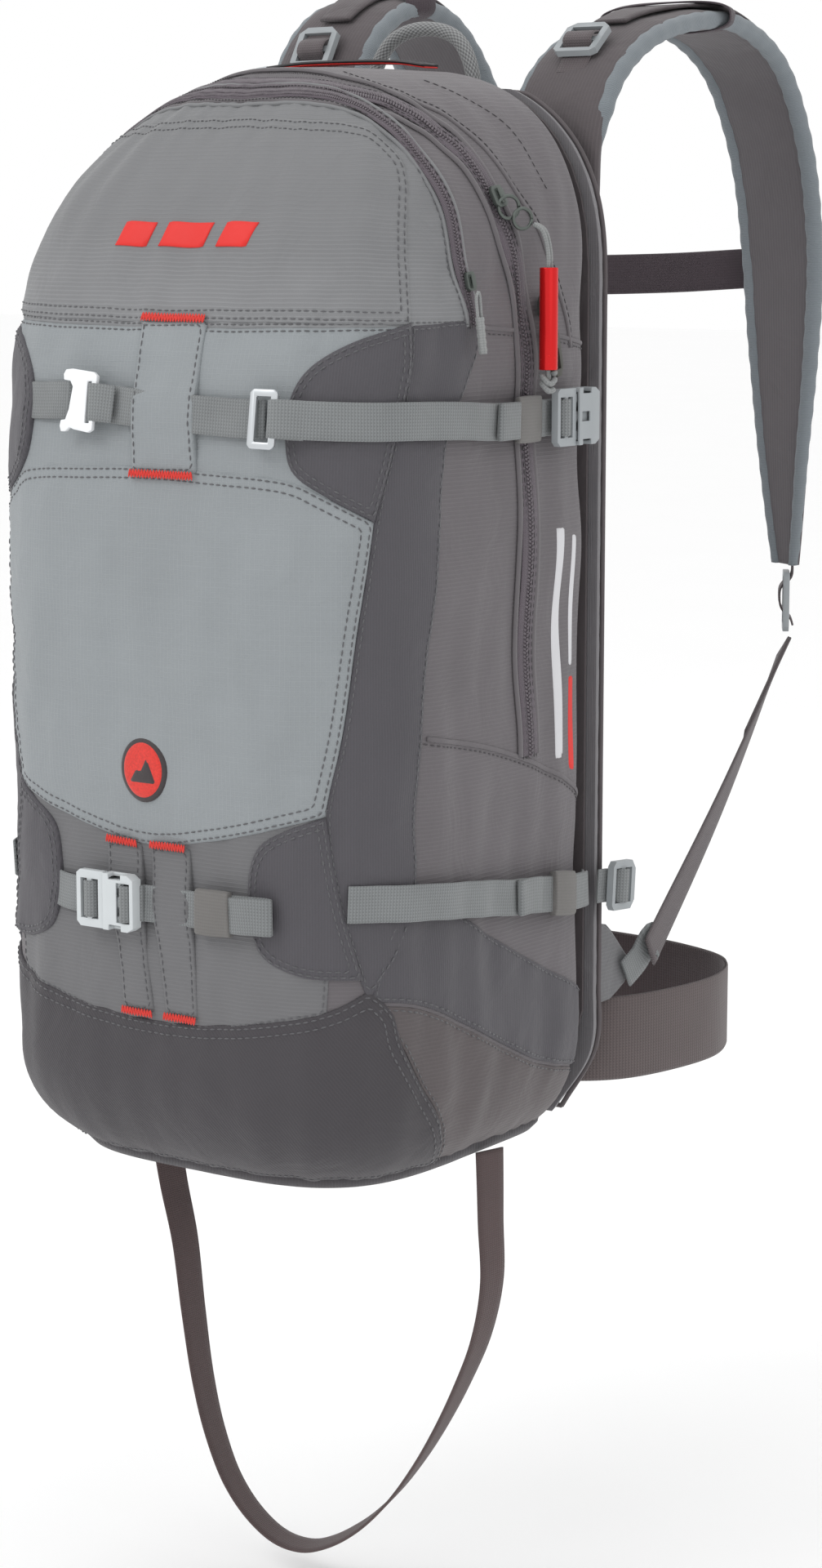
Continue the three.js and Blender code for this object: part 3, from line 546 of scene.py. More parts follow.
class Panel:
    """A cut piece of fabric on the bag, with the height of its top face."""

    def __init__(self, rim, lift=0.3, rise=1.0, puff=0.0, pucker=0.45, seed=1, open_edge=None):
        self.rim = rim
        self.lift, self.rise, self.puff, self.pucker = lift, rise, puff, pucker
        self.seed = seed
        self.open_edge = open_edge
        self.roll = 2.2
        self.ground = skin
        self.base = -0.6

    def height(self, points):
        gap, run = rim_distance(points, self.rim)
        rolled = np.sqrt(1 - (1 - np.clip(gap / self.roll, 0, 1)) ** 2)
        pulled = self.pucker * np.exp(-(gap / 9) ** 2) * (np.sin(run / 2.7 + 2 * np.sin(run / 17 + self.seed)) - 0.2)
        folds = 0.8 * self.pucker * ripple(points[:, 0], points[:, 1], 30, self.seed + 4)
        top = self.lift + rolled * self.rise + self.puff * (1 - np.exp(-gap / 26))
        top = top + np.clip(gap / 3, 0, 1) * (pulled + folds)
        if self.open_edge is not None:
            middle, size, lifted = self.open_edge
            top = top + lifted * np.exp(-np.sum(((points - middle) / size) ** 2, 1))
        return top

    def build(self, name, material, slot, cell=4.6, replaces=()):
        low, high = self.rim.min(0), self.rim.max(0)
        rows = np.arange(low[1], high[1], cell * 0.87)
        grid = [(w, z) for k, z in enumerate(rows) for w in np.arange(low[0] + cell / 2 * (k % 2), high[0], cell)]
        inner = np.array(grid)
        inner = inner[inside_rim(inner, self.rim)]
        gap, _ = rim_distance(inner, self.rim)
        flat = np.vstack([self.rim, inset_rim(self.rim, 0.5), inset_rim(self.rim, 1.8), inner[gap > 3.2]])
        count = len(self.rim)
        loop = list(range(count))
        edges = [(i, (i + 1) % count) for i in loop]
        result = geometry.delaunay_2d_cdt([Vector(p) for p in flat], edges, [loop], 1, 1e-5)
        flat = np.array([tuple(p) for p in result[0]])
        top_faces = [tuple(f) for f in result[2]]
        top = self.ground(flat[:, 0], flat[:, 1], self.height(flat))[0]
        bottom = self.ground(flat[:, 0], flat[:, 1], self.base)[0]
        total = len(flat)
        used = {}
        for face in top_faces:
            for a, b in zip(face, face[1:] + face[:1]):
                used[(a, b)] = True
        border = [(a, b) for a, b in used if (b, a) not in used]
        faces = [*top_faces, *[tuple(i + total for i in f[::-1]) for f in top_faces]]
        faces += [(b, a, a + total, b + total) for a, b in border]
        both = np.vstack([flat, flat])
        uv = np.array([both[i] for f in faces for i in f]) * MM
        piece = new_piece(name, place(np.vstack([top, bottom])), faces, material, uv)
        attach(piece, "root")
        if replaces:
            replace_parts(piece, *replaces)
        return piece


seam_runs = []


def sewn(name, panel, material, slot, rows=(2.0,), both=False, replaces=()):
    """Builds the panel, and its mirror image if it has one, and notes where its stitches go."""
    twin = Panel(flipped(panel.rim), panel.lift, panel.rise, panel.puff, panel.pucker, panel.seed + 1)
    if both and panel.open_edge is not None:
        middle, size, lifted = panel.open_edge
        twin.open_edge = (np.asarray(middle) * [-1, 1], size, lifted)
        panel.open_edge = None
    piece = panel.build(name + ("_right" if both else ""), material, slot, replaces=replaces)
    seam_runs.extend((panel, inset_rim(panel.rim, row), 0) for row in rows)
    if both:
        twin.build(name + "_left", material, slot)
        seam_runs.extend((twin, inset_rim(twin.rim, row), 0) for row in rows)
    return piece


fabric_light = fabric_finish("fabric_light", (138, 143, 146), "grid", 0.12)
# The top pocket's fabric gets painted shade: its colour is darker towards the top.
fabric_pocket = fabric_finish("fabric_pocket", (126, 127, 129), "ribs", 0.2, painted_top_shade=1.0)
fabric_dark = fabric_finish("fabric_dark", (74, 72, 77), "columns", 0.18)
fabric_lower = fabric_finish("fabric_lower", (104, 104, 106), "ribs", 0.14)
fabric_base = fabric_finish("fabric_base", (60, 57, 61), "twill", 0.22)
fabric_foot = fabric_finish("fabric_foot", (84, 78, 79), "ribs", 0.16)

pocket_zip_path = [(136, -128, 462), (136, -128, 468), (132, -134, 491), (120, -130, 524), (105, -130, 546),
                   (67, -130, 574), (0, -133, 581)]
pocket_zip = on_bag(pocket_zip_path)
pocket_seam = front((128, 463), (120, 504), (102, 545), (81, 562), (40, 568), (0, 569))
main_zip_path = [(137, -73, 228), (137, -74, 330), (137, -75, 440), (135, -84, 490), (125, -92, 529),
                 (107, -97, 554), (76, -108, 574), (40, -116, 584), (0, -120, 587)]
main_zip = on_bag(main_zip_path)


def whole(half):
    """A line from the right foot over the top and down to the left, from its right half."""
    return np.vstack([half, flipped(half)[1:]])


border_rim = chained(whole(pocket_zip - [5, 0]), front((-128, 463), (-60, 461), (0, 460), (60, 461)))
sewn("pocket_border", Panel(border_rim, rise=0.9, puff=0.6, seed=2), fabric_pocket, "fabric_grey", (2.2,))
pocket_rim = chained(whole(pocket_seam), front((-118, 465), (-60, 464), (0, 463), (60, 464)))
top_pocket = sewn("top_pocket_face", Panel(pocket_rim, lift=1.3, rise=0.9, puff=2.4, seed=3), fabric_pocket,
                  "fabric_grey", (2.0, 6.0), replaces=("top_pocket",))

strip_rim = chained(front((126, 463), (0, 461)), front((-126, 463), (-122, 400)), front((-118, 362), (0, 372)),
                    front((118, 362), (122, 400)))
sewn("upper_strip", Panel(strip_rim, rise=0.8, puff=0.8, seed=4), fabric_light, "fabric_light", (2.0,))

centre_side = [(122, 363), (117, 313), (111, 253), (104, 212)]
centre_rim = chained(
    front((-122, 363), (-105, 376), (-89, 384), (-37, 388), (0, 389), (37, 388), (89, 384), (105, 376)),
    front(*centre_side), front((104, 210), (46, 194), (0, 187), (-46, 194)),
    front((-104, 210), (-111, 253), (-117, 313)))
sewn("centre_panel", Panel(centre_rim, lift=0.8, rise=1.3, puff=2.6, seed=5), fabric_light, "fabric_light",
     (2.0, 6.5), replaces=("front_panel",))

lower_rim = chained(front((106, 216), (0, 196)), front((-106, 216), (-106, 150)),
                    front((-104, 104), (-34, 90), (34, 90)), front((104, 104), (106, 150)))
sewn("lower_panel", Panel(lower_rim, rise=0.7, puff=0.8, seed=6), fabric_lower, "fabric_grey", (2.0,))

band_front = front((128, 463), (128, 421), (122, 363), (117, 313), (111, 253), (104, 210), (108, 167), (117, 123))
band_rear = side((-197, 112), (-180, 138), (-169, 170), (-169, 207), (-167, 250), (-161, 293), (-152, 361),
                 (-145, 403), (-121, 460))
band_rim = chained(band_front, band_rear)
sewn("corner_band", Panel(band_rim, lift=0.6, rise=1.0, puff=0.8, seed=7), fabric_dark, "fabric_base", (2.2,), True)

diagonal_rim = chained(side((-168, 172), (-119, 140), (-58, 108), (-6, 82)), side((-5, 80), (-5, 42)),
                       side((-6, 38), (-60, 54), (-107, 76), (-170, 106)), side((-196, 111), (-186, 148)))
sewn("side_band", Panel(diagonal_rim, lift=0.4, rise=0.9, puff=0.5, seed=8), fabric_dark, "fabric_base", (2.2,), True)

foot_rim = chained(side((-196, 109), (-170, 104), (-107, 74), (-60, 52), (-6, 36)), side((-5, 34), (-5, 6)),
                   side((-8, 4), (-110, 4)), side((-118, 5), (-144, 33), (-168, 64), (-180, 85)))
sewn("foot_gusset", Panel(foot_rim, lift=0.2, rise=0.7, puff=0.3, seed=9), fabric_foot, "fabric_grey", (2.0,), True)

base_right = on_bag([(128, -186, 104), (129, -180, 85), (129, -166, 62), (130, -144, 33), (110, -118, 4)])
base_rim = chained(front((-120, 117), (-104, 106), (-34, 93), (34, 93), (104, 106)), np.vstack([front((120, 117)),
                   base_right]), np.array([(90.0, 2.0), (0.0, 2.0)]) * [base_right[-1][0] / 90, 1], flipped(base_right))
sewn("base_face", Panel(base_rim, lift=0.7, rise=1.1, puff=0.6, seed=10), fabric_base, "fabric_base", (2.2, 7.0),
     replaces=("base_panel",))

foot_ring = skin(shell_columns, np.full(len(shell_columns), 7.0), 0.9)[0]
foot_rings = np.array([*(foot_ring.mean(0) * [1, 1, 0] + (foot_ring - foot_ring.mean(0)) * [share, share, 0]
                         + [0, 0, height] for share, height in ((0.02, -3.2), (0.3, -3.1), (0.6, -2.8), (0.88, -2.2),
                                                                (0.965, -0.4), (0.995, 3.5), (1.0, 7.0), (0.97, 8.5),
                                                                (0.9, 3.0), (0.4, 1.0), (0.02, 1.0)))])
foot_index = np.arange(foot_rings.shape[0] * foot_rings.shape[1]).reshape(foot_rings.shape[:2])
foot_next = np.roll(foot_index, -1, axis=1)
foot_quads = np.stack([foot_index[:-1], foot_next[:-1], foot_next[1:], foot_index[1:]], -1).reshape(-1, 4)
foot_flat = foot_rings.reshape(-1, 3)
foot_faces = [*foot_quads, foot_index[0], foot_index[-1]]
foot_uv = np.array([foot_flat[i][:2] for f in foot_faces for i in f]) * MM
base_floor = new_piece("base_floor", place(foot_flat), foot_faces, fabric_base, foot_uv)
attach(base_floor, "root")

upper_wing = chained(front((128, 464), (110, 454), (92, 440), (85, 425), (84, 410), (88, 390), (105, 376)),
                     front((122, 363), (127, 400), (129, 440)))
wing_edge = front((86, 412))[0]
sewn("upper_wing", Panel(upper_wing, lift=1.5, rise=1.6, puff=1.6, seed=11, open_edge=(wing_edge, (16, 26), 2.2)),
     fabric_dark, "fabric_base", (2.0, 5.0), True)
lower_wing = chained(front((104, 210), (84, 202), (70, 192), (64, 173), (65, 150), (72, 134), (92, 125)),
                     front((118, 123), (110, 166)))
low_wing_edge = front((66, 160))[0]
sewn("lower_wing", Panel(lower_wing, lift=1.4, rise=1.6, puff=1.4, seed=12, open_edge=(low_wing_edge, (16, 24), 2.0)),
     fabric_dark, "fabric_base", (2.0, 5.0), True)


# ---- Sleeves ----
# Flat tubes of the front fabric that the straps pass behind, caught at both ends with red bartacks.
def sleeve(name, ends, material, slot, lift, seed):
    (left_top, right_top, top), (left_foot, right_foot, foot) = ends
    rim = chained(front((left_top, top), (right_top, top)), front((right_top + 0.1, top - 1),
                  (right_foot, foot + 1)), front((right_foot, foot), (left_foot, foot)),
                  front((left_foot, foot + 1), (left_top, top - 1)))
    over_strap = np.array([(rim[:, 0].mean()), UPPER_STRAP_Z if top > 300 else LOWER_STRAP_Z])
    sewn(name, Panel(rim, lift, 1.2, 1.0, 0.35, seed, (over_strap, (60, 17), 4.6)), material, slot, (2.2,))
    return rim


sleeve("strap_sleeve", ((-10, 31, 463), (-9, 33, 386)), fabric_light, "fabric_light", 2.0, 13)
sleeve("tool_sleeve_left", ((-29, -6, 187), (-19, 1, 96)), fabric_lower, "fabric_grey", 1.6, 14)
sleeve("tool_sleeve_right", ((1, 27, 187), (10, 31, 96)), fabric_lower, "fabric_grey", 1.6, 15)


# ---- Stitching ----
# Lockstitch in matching thread along the turned edges, and dense red bartacks where straps pull.
def stitch_points(line, height, pitch=4.3, length=3.1):
    """Middles, directions and normals of stitches along a line in (w, z)."""
    line = np.asarray(line)
    at = spaced(np.c_[line, np.zeros(len(line))], pitch)[:, :2]
    ahead = tangents(at)
    lift = height(at) + 0.12
    middle, normal = skin(at[:, 0], at[:, 1], lift)
    tip = skin(at[:, 0] + ahead[:, 0] * length / 2, at[:, 1] + ahead[:, 1] * length / 2, lift)[0]
    return middle, tip - middle, normal


def threads(name, stitches, material, thick=0.42):
    """Many small stitches as one piece: each is a bead drawn out along the seam."""
    middles, halves, normals = (np.vstack(part) for part in zip(*stitches))
    acrosses = unit(np.cross(normals, halves))
    rings = [(-1.0, 0.25), (-0.55, 0.95), (0.0, 1.15), (0.55, 0.95), (1.0, 0.25)]
    turns = np.arange(5) * 2 * math.pi / 5
    corners = []
    for along, girth in rings:
        for turn in turns:
            corners.append(middles + halves * along + acrosses * math.cos(turn) * thick * girth
                           + normals * math.sin(turn) * thick * girth * 0.9)
    points = np.stack(corners, 1).reshape(-1, 3)
    one = [(r * 5 + k, r * 5 + (k + 1) % 5, r * 5 + 5 + (k + 1) % 5, r * 5 + 5 + k) for r in range(4) for k in range(5)]
    one += [(4, 3, 2, 1, 0), (20, 21, 22, 23, 24)]
    faces = [tuple(i + 25 * n for i in f) for n in range(len(middles)) for f in one]
    piece = new_piece(name, place(points), faces, material)
    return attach(piece, "root")


def thread_finish(name, colour):
    finish = Finish(name, 0.6, Sheen_Weight=0.2)
    twist = finish.noise(finish.body(), 900, 1)
    finish.colour(finish.mix(twist, linear(colour, 0.7), linear(colour, 1.3)))
    return finish.bump(twist, 0.3, 0.0003)


thread_grey = thread_finish("thread_grey", (84, 84, 87))
thread_red = thread_finish("thread_red", (205, 42, 30))
grey_stitches = [stitch_points(line, panel.height) for panel, line, _ in seam_runs if len(line) > 3]
threads("seam_stitches", grey_stitches, thread_grey)


def bartack(centre, length, lean=0.0, lift=5.0, depth=4.6):
    """A bar of close zigzag stitches, as (middles, halves, normals)."""
    count = int(length / 0.95)
    along = (np.arange(count) - (count - 1) / 2) * 0.95
    at = np.asarray(centre) + np.stack([along, along * lean], 1)
    middle, normal = skin(at[:, 0], at[:, 1], lift)
    way = np.where(np.arange(count) % 2 == 0, 0.35, -0.35)
    up = skin(at[:, 0] + way, at[:, 1] + depth / 2, lift)[0]
    return middle, up - middle, normal


red_tacks = [bartack(front((10.5, 465))[0], 41, 0.0, 4.3), bartack(front((12, 385))[0], 42, 0.0, 5.4),
             bartack(front((-17.5, 188))[0], 21, -0.06, 4.8), bartack(front((14, 188))[0], 24, 0.0, 4.8),
             bartack(front((-9, 95))[0], 21, -0.02, 3.8), bartack(front((20.5, 95))[0], 22, 0.0, 3.8)]
threads("red_bartacks", red_tacks, thread_red, 0.55)


# ---- Zips ----
# Reversed coil zips: a woven tape each side of the closed coil, sewn in with two rows of stitches,
# one over the main compartment and a finer one round the top pocket.
def strip_on_bag(name, line, width, lift, thickness, material, replaces=(), step=4, body="root"):
    """A flat strip along a line in (w, z), lying at a height above the fabric."""
    at = spaced(np.c_[line, np.zeros(len(line))], step)[:, :2]
    section = flat_section(width, thickness)
    heights = np.broadcast_to(np.asarray(lift, float), (len(at),)) if np.ndim(lift) == 0 else np.interp(
        np.linspace(0, 1, len(at)), np.linspace(0, 1, len(lift)), lift)
    centres, normals = skin(at[:, 0], at[:, 1], heights + thickness / 2)
    ahead = tangents(centres)
    sides = unit(np.cross(ahead, normals))
    piece = loft(name, centres, sides, np.cross(sides, ahead), np.repeat(section[None], len(at), 0), material)
    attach(piece, body)
    if replaces:
        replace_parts(piece, *replaces)
    return piece


def smooth_flat(points, step=4):
    return smooth_line(np.c_[points, np.zeros(len(points))], step)[:, :2]


def shifted(line, offset):
    """A line in (w, z) moved sideways."""
    ahead = tangents(line)
    return line + np.stack([ahead[:, 1], -ahead[:, 0]], 1) * offset


zip_tape = webbing_finish("zip_tape", (84, 76, 83), rib=1.0, contrast=0.3)
zip_coil = Finish("zip_coil", 0.42)
coil_wave = zip_coil.noise(zip_coil.body(), 420, 2)
zip_coil.colour(zip_coil.mix(coil_wave, linear((66, 60, 66)), linear((112, 104, 110))))
zip_coil.bump(coil_wave, 0.2, 0.0003)


def coil_teeth(name, line, lift, pitch, reach, thick):
    """The closed coil: a herringbone of small beads along the middle of the zip."""
    at = spaced(np.c_[line, np.zeros(len(line))], pitch)[:, :2]
    ahead = tangents(at)
    aside = np.stack([ahead[:, 1], -ahead[:, 0]], 1)
    parts = []
    for hand in (-1, 1):
        start = at + ahead * pitch * 0.25 * hand
        middle, normal = skin(*(start + aside * hand * reach / 2).T, lift)
        tip = skin(*(start + aside * hand * reach + ahead * pitch * 0.35).T, lift)[0]
        parts.append((middle, tip - middle, normal))
    piece = threads(name, parts, zip_coil.material, thick)
    return piece


main_line = smooth_flat(whole(main_zip), 3)
pocket_line = smooth_flat(whole(pocket_zip), 3)
strip_on_bag("main_zip_tape", main_line, 15, 0.5, 0.9, zip_tape, ("main_zip",))
coil_teeth("main_zip_coil", main_line, 1.6, 2.1, 2.3, 0.75)
strip_on_bag("pocket_zip_tape", pocket_line, 9, 1.4, 0.9, zip_tape, ("pocket_zip",))
coil_teeth("pocket_zip_coil", pocket_line, 2.5, 1.7, 1.6, 0.6)


def welt(name, line, material, radius=1.3, lift=0.9):
    """A rolled fabric edge beside a zip or along a seam."""
    at = spaced(np.c_[line, np.zeros(len(line))], 4)[:, :2]
    centres, normals = skin(at[:, 0], at[:, 1], lift)
    turns = np.arange(10) * 2 * math.pi / 10
    section = np.stack([np.cos(turns) * radius * 1.5, np.sin(turns) * radius], 1)
    ahead = tangents(centres)
    sides = unit(np.cross(ahead, normals))
    sections = np.repeat(section[None], len(at), 0)
    piece = loft(name, centres, sides, np.cross(sides, ahead), sections, material, flat_uv=False)
    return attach(piece, "root")


for hand, tag in ((-1, "front"), (1, "rear")):
    welt("main_zip_welt_" + tag, shifted(main_line, hand * 8.6), fabric_grey)
    welt("pocket_zip_welt_" + tag, shifted(pocket_line, hand * 5.2), fabric_pocket, 1.0, 1.2)

breakaway = on_bag([(137, -31, 448), (137, -37, 468), (129, -66, 525), (97, -82, 568), (42, -103, 592)])
stitch_seam = on_bag([(129, -44, 533), (104, -50, 568), (60, -60, 588)])
side_seam = on_bag([(133, -164, 248), (137, -116, 238), (137, -76, 226), (136, -23, 205), (136, -4, 196)])
level_seam = on_bag([(131, -121, 461), (136, -95, 459), (137, -60, 457), (137, -30, 452), (136, -4, 449)])
for name, line, radius in (("breakaway_seam", breakaway, 1.1), ("side_seam", side_seam, 0.9),
                           ("level_seam", level_seam, 0.8)):
    smooth_seam = smooth_flat(line)
    welt(name + "_right", smooth_seam, fabric_grey, radius, 0.2)
    welt(name + "_left", flipped(smooth_seam), fabric_grey, radius, 0.2)


def level(height):
    return lambda points: np.full(len(points), height)


dark_lines = [(shifted(main_line, hand * offset), 1.3) for hand in (-1, 1) for offset in (3.6, 6.2)]
dark_lines += [(shifted(pocket_line, hand * 3.3), 2.2) for hand in (-1, 1)]
for line in (breakaway, stitch_seam, side_seam, level_seam):
    smooth_seam = smooth_flat(line)
    for run in (smooth_seam, flipped(smooth_seam)):
        dark_lines.append((shifted(run, 3.0), 0.1))
thread_dark = thread_finish("thread_dark", (58, 54, 58))
threads("zip_stitches", [stitch_points(line, level(height)) for line, height in dark_lines], thread_dark, 0.36)


# ---- Upper compression strap ----
# A 20 mm webbing round the bag at chest height. A flat white aluminium hook clips its left end,
# a ring takes the right one, and the loose tail is folded back under an elastic keeper.
def plastic_finish(name, colour, roughness=0.42, metal=0.0, spread=0.08):
    finish = Finish(name, roughness, Metallic=metal)
    grain = finish.noise(finish.body(), 420, 2)
    patches = finish.noise(finish.body(), 36, 4)
    finish.colour(finish.mix(patches, linear(colour, 1 - spread), linear(colour, 1 + spread)))
    finish.rough(roughness - 0.07 + grain * 0.1 + patches * 0.06)
    return finish.bump(grain, 0.12, 0.0003)


class Seat:
    """Where a hard piece sits, in millimetres: x along it, y across it, z out from the fabric."""

    def __init__(self, at, along, out):
        self.along = Vector(along).normalized()
        self.out = (Vector(out) - Vector(out).dot(self.along) * self.along).normalized()
        self.across = self.out.cross(self.along)
        turn = Matrix((self.along, self.across, self.out)).transposed().to_4x4()
        self.matrix = Matrix.Translation(at) @ turn @ Matrix.Scale(MM, 4)

    def drawn(self, points):
        """Its own points as points of the drawing."""
        placed = np.array([tuple(self.matrix @ Vector(p)) for p in points])
        return (placed - np.array([0, BACK, FOOT])) / MM


def choose(piece=None):
    bpy.ops.object.select_all(action="DESELECT")
    if piece is not None:
        piece.select_set(True)
        bpy.context.view_layer.objects.active = piece


def block(x0, x1, y0, y1, z0, z1):
    choose()
    bpy.ops.mesh.primitive_cube_add(size=1)
    body = bpy.context.object
    body.data.transform(Matrix.LocRotScale(Vector((x0 + x1, y0 + y1, z0 + z1)) / 2, None,
                                           Vector((x1 - x0, y1 - y0, z1 - z0))))
    return body


def rod(start, end, radius, sides=28):
    choose()
    way = Vector(end) - Vector(start)
    bpy.ops.mesh.primitive_cylinder_add(vertices=sides, radius=radius, depth=way.length)
    body = bpy.context.object
    body.data.transform(Matrix.Translation((Vector(start) + Vector(end)) / 2)
                        @ way.to_track_quat("Z", "Y").to_matrix().to_4x4())
    return body


def plate(outline, low, high):
    """A flat outline, extruded in edit mode from one height to another."""
    mesh = bpy.data.meshes.new("plate")
    mesh.from_pydata([(x, y, low) for x, y in outline], [], [range(len(outline))])
    body = bpy.data.objects.new("plate", mesh)
    bpy.context.scene.collection.objects.link(body)
    choose(body)
    bpy.ops.object.mode_set(mode="EDIT")
    bpy.ops.mesh.select_all(action="SELECT")
    bpy.ops.mesh.extrude_region_move(TRANSFORM_OT_translate={"value": (0, 0, high - low)})
    bpy.ops.mesh.select_all(action="SELECT")
    bpy.ops.mesh.normals_make_consistent(inside=False)
    bpy.ops.object.mode_set(mode="OBJECT")
    return body


def combined(body, tool, operation):
    modifier = body.modifiers.new(operation, "BOOLEAN")
    modifier.operation = operation
    modifier.object = tool
    choose(body)
    bpy.ops.object.modifier_apply(modifier=modifier.name)
    bpy.data.objects.remove(tool)


def moulded(name, seat, solids, holes, material, body="root", edge=0.8, replaces=()):
    """Solids joined and cut, with rounded edges, put on their seat."""
    piece = solids[0]
    for solid in solids[1:]:
        combined(piece, solid, "UNION")
    for hole in holes:
        combined(piece, hole, "DIFFERENCE")
    bevel = piece.modifiers.new("edge", "BEVEL")
    bevel.width, bevel.segments, bevel.limit_method = edge, 3, "ANGLE"
    bevel.angle_limit = math.radians(32)
    choose(piece)
    bpy.ops.object.modifier_apply(modifier="edge")
    piece.data.transform(seat.matrix)
    bpy.ops.object.shade_smooth_by_angle(angle=math.radians(50))
    piece.name = piece.data.name = name
    piece.data.materials.clear()
    piece.data.materials.append(material)
    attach(piece, body)
    if replaces:
        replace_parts(piece, *replaces)
    return piece


def ribbon(name, path, width, thickness, material, replaces=(), step=1.5):
    """Webbing along places given as (w, z, height over the fabric). It may fold back on itself."""
    line = smooth_line(path, step)
    centres, _ = skin(line[:, 0], line[:, 1], line[:, 2])
    above, _ = skin(line[:, 0], line[:, 1] + 1, line[:, 2])
    piece = webbing(name, centres, above - centres, width, thickness, material)
    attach(piece, "root")
    if replaces:
        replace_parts(piece, *replaces)
    return piece


def over_front(*points):
    return np.c_[front(*[(x, z) for x, z, _ in points]), [lift for *_, lift in points]]


def over_side(*points):
    return np.c_[side(*[(y, z) for y, z, _ in points]), [lift for *_, lift in points]]


def to_left(path):
    return np.asarray(path) * [-1, 1, 1]


def threaded(name, seat, path, width, material, body="root"):
    """A short length of webbing through a buckle, along (x, z) on the buckle's seat."""
    line = smooth_line([(x, 0, z) for x, z in path], 0.8)
    centres = seat.drawn(line)
    sides = np.repeat(np.array([seat.across]), len(line), 0)
    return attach(webbing(name, centres, sides, width, 1.3, material), body)


def keeper(name, path, width=24.5, thickness=6.4):
    """An elastic loop round the strap and its tail."""
    line = smooth_line(path, 1.5)
    centres, _ = skin(line[:, 0], line[:, 1], line[:, 2])
    above, _ = skin(line[:, 0], line[:, 1] + 1, line[:, 2])
    turns = np.arange(32) * 2 * math.pi / 32
    reach = (np.abs(np.cos(turns)) ** 5 + np.abs(np.sin(turns)) ** 5) ** (-1 / 5)
    section = np.stack([reach * np.cos(turns) * width / 2, reach * np.sin(turns) * thickness / 2], 1)
    ahead = tangents(centres)
    sides = unit(above - centres - ahead * np.sum((above - centres) * ahead, 1, keepdims=True))
    swell = 1 + 0.03 * np.sin(np.linspace(0, math.pi, len(line)))[:, None, None]
    sections = np.repeat(section[None], len(line), 0) * swell
    piece = loft(name, centres, sides, np.cross(sides, ahead), sections, elastic, flat_uv=False)
    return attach(piece, "root")


webbing_light = webbing_finish("webbing_light", (114, 117, 118), rib=1.7, contrast=0.36)
elastic = webbing_finish("elastic_keeper", (108, 106, 104), rib=0.8, chevron=0.5, contrast=0.2)
metal_white = plastic_finish("metal_white", (236, 238, 240), 0.3, 0.15, 0.03)
metal_grey_finish = plastic_finish("metal_silver", (196, 200, 203), 0.34, 0.75, 0.05)
plastic_light = plastic_finish("plastic_light", (150, 155, 158), 0.4)
plastic_bright = plastic_finish("plastic_bright", (196, 201, 203), 0.4)

UPPER = UPPER_STRAP_Z
BASE_LIFT = 6.1
ribbon("upper_hook_loop", np.vstack([
    over_front((-54, UPPER + 6, 7.4), (-51.4, UPPER + 6, 6.2), (-55, UPPER + 6, 5.4), (-76, UPPER + 5.4, 4.2),
               (-92, UPPER + 5, 2.2), (-112, UPPER + 4, 2.2)),
    to_left(over_side((-168, UPPER + 1, 3.8), (-140, UPPER - 1, 5.0), (-70, UPPER - 3, BASE_LIFT),
                      (-12, UPPER - 3, BASE_LIFT)))]), 20, 1.4, webbing_light, ("hook_loop",))
ribbon("upper_hook_webbing", over_front(
    (-20, UPPER + 4.5, 9.2), (-29, UPPER + 5, 12.0), (-34.2, UPPER + 5, 11.4), (-35.8, UPPER + 5, 8.4),
    (-34, UPPER + 5, 6.2), (-26, UPPER + 5, 5.6), (0, UPPER + 3, 5.6), (40, UPPER + 1, 5.4), (66, UPPER, 5.4),
    (75, UPPER, 5.2)), 20, 1.4, webbing_light, ("hook_webbing",))
ribbon("upper_webbing_right", np.vstack([
    over_front((94, UPPER - 0.5, 4.4), (83, UPPER, 4.6), (78.2, UPPER, 6.6), (78.4, UPPER, 9.8), (82, UPPER, 12.2),
               (89, UPPER, 11.0), (97, UPPER - 0.3, 8.2)),
    over_side((-196, UPPER - 0.8, BASE_LIFT), (-170, UPPER - 1, BASE_LIFT), (-140, UPPER - 2, BASE_LIFT),
              (-109, UPPER - 4, BASE_LIFT), (-66, UPPER - 4, BASE_LIFT), (-52, UPPER - 4, 7.0))]),
    20, 1.4, webbing_light, ("upper_webbing",))
ribbon("upper_webbing_tail", over_side(
    (-62, UPPER - 4, 7.5), (-80, UPPER - 4, 7.5), (-104, UPPER - 4, 7.7), (-109.6, UPPER - 4, 8.8),
    (-109.6, UPPER - 4, 10.2), (-105, UPPER - 4, 10.9), (-95, UPPER - 4, 10.2), (-91.5, UPPER - 4, 9.6)), 20, 1.4,
    webbing_light)
keeper("upper_keeper", over_side((-90, UPPER - 4, 6.8), (-80, UPPER - 4, 6.7), (-67, UPPER - 4, 6.6)), thickness=3.7)

hook_seat = Seat((-0.03024, -0.25852, -0.19889), (-0.9998, 0.018, -0.0028), (-0.0182, -0.9882, 0.1519))
hook_shape = [(0.5, -14), (3, -16), (18, -17.5), (22.5, -17), (24, -14.5), (23.5, -11.5), (19, -11), (17, -8),
              (18.5, 4), (20.5, 9.5), (23.5, 9.8), (24, 13), (22.8, 16), (19.5, 15.6), (17, 13.6), (14, 14.6),
              (4, 16), (1.2, 14.5)]
moulded("strap_hook_plate", hook_seat, [plate(hook_shape, 0, 2.6)], [block(3.6, 6.8, -11, 11, -1, 4)],
        metal_white, "hook", 0.7, ("strap_hook",))
ring_seat = Seat((0.06925, -0.25633, -0.20401), (0.9871, 0.1585, -0.0219), (0.1601, -0.9778, 0.1353))
ring_shape = [(2, -15.5), (14, -15.5), (16, -13.5), (16, 13.5), (14, 15.5), (2, 15.5), (0, 13.5), (0, -13.5)]
moulded("strap_ring_frame", ring_seat, [plate(ring_shape, 0, 3)], [block(3.9, 12.2, -11.6, 11.6, -1, 4)],
        metal_grey_finish, "root", 0.9, ("strap_ring",))


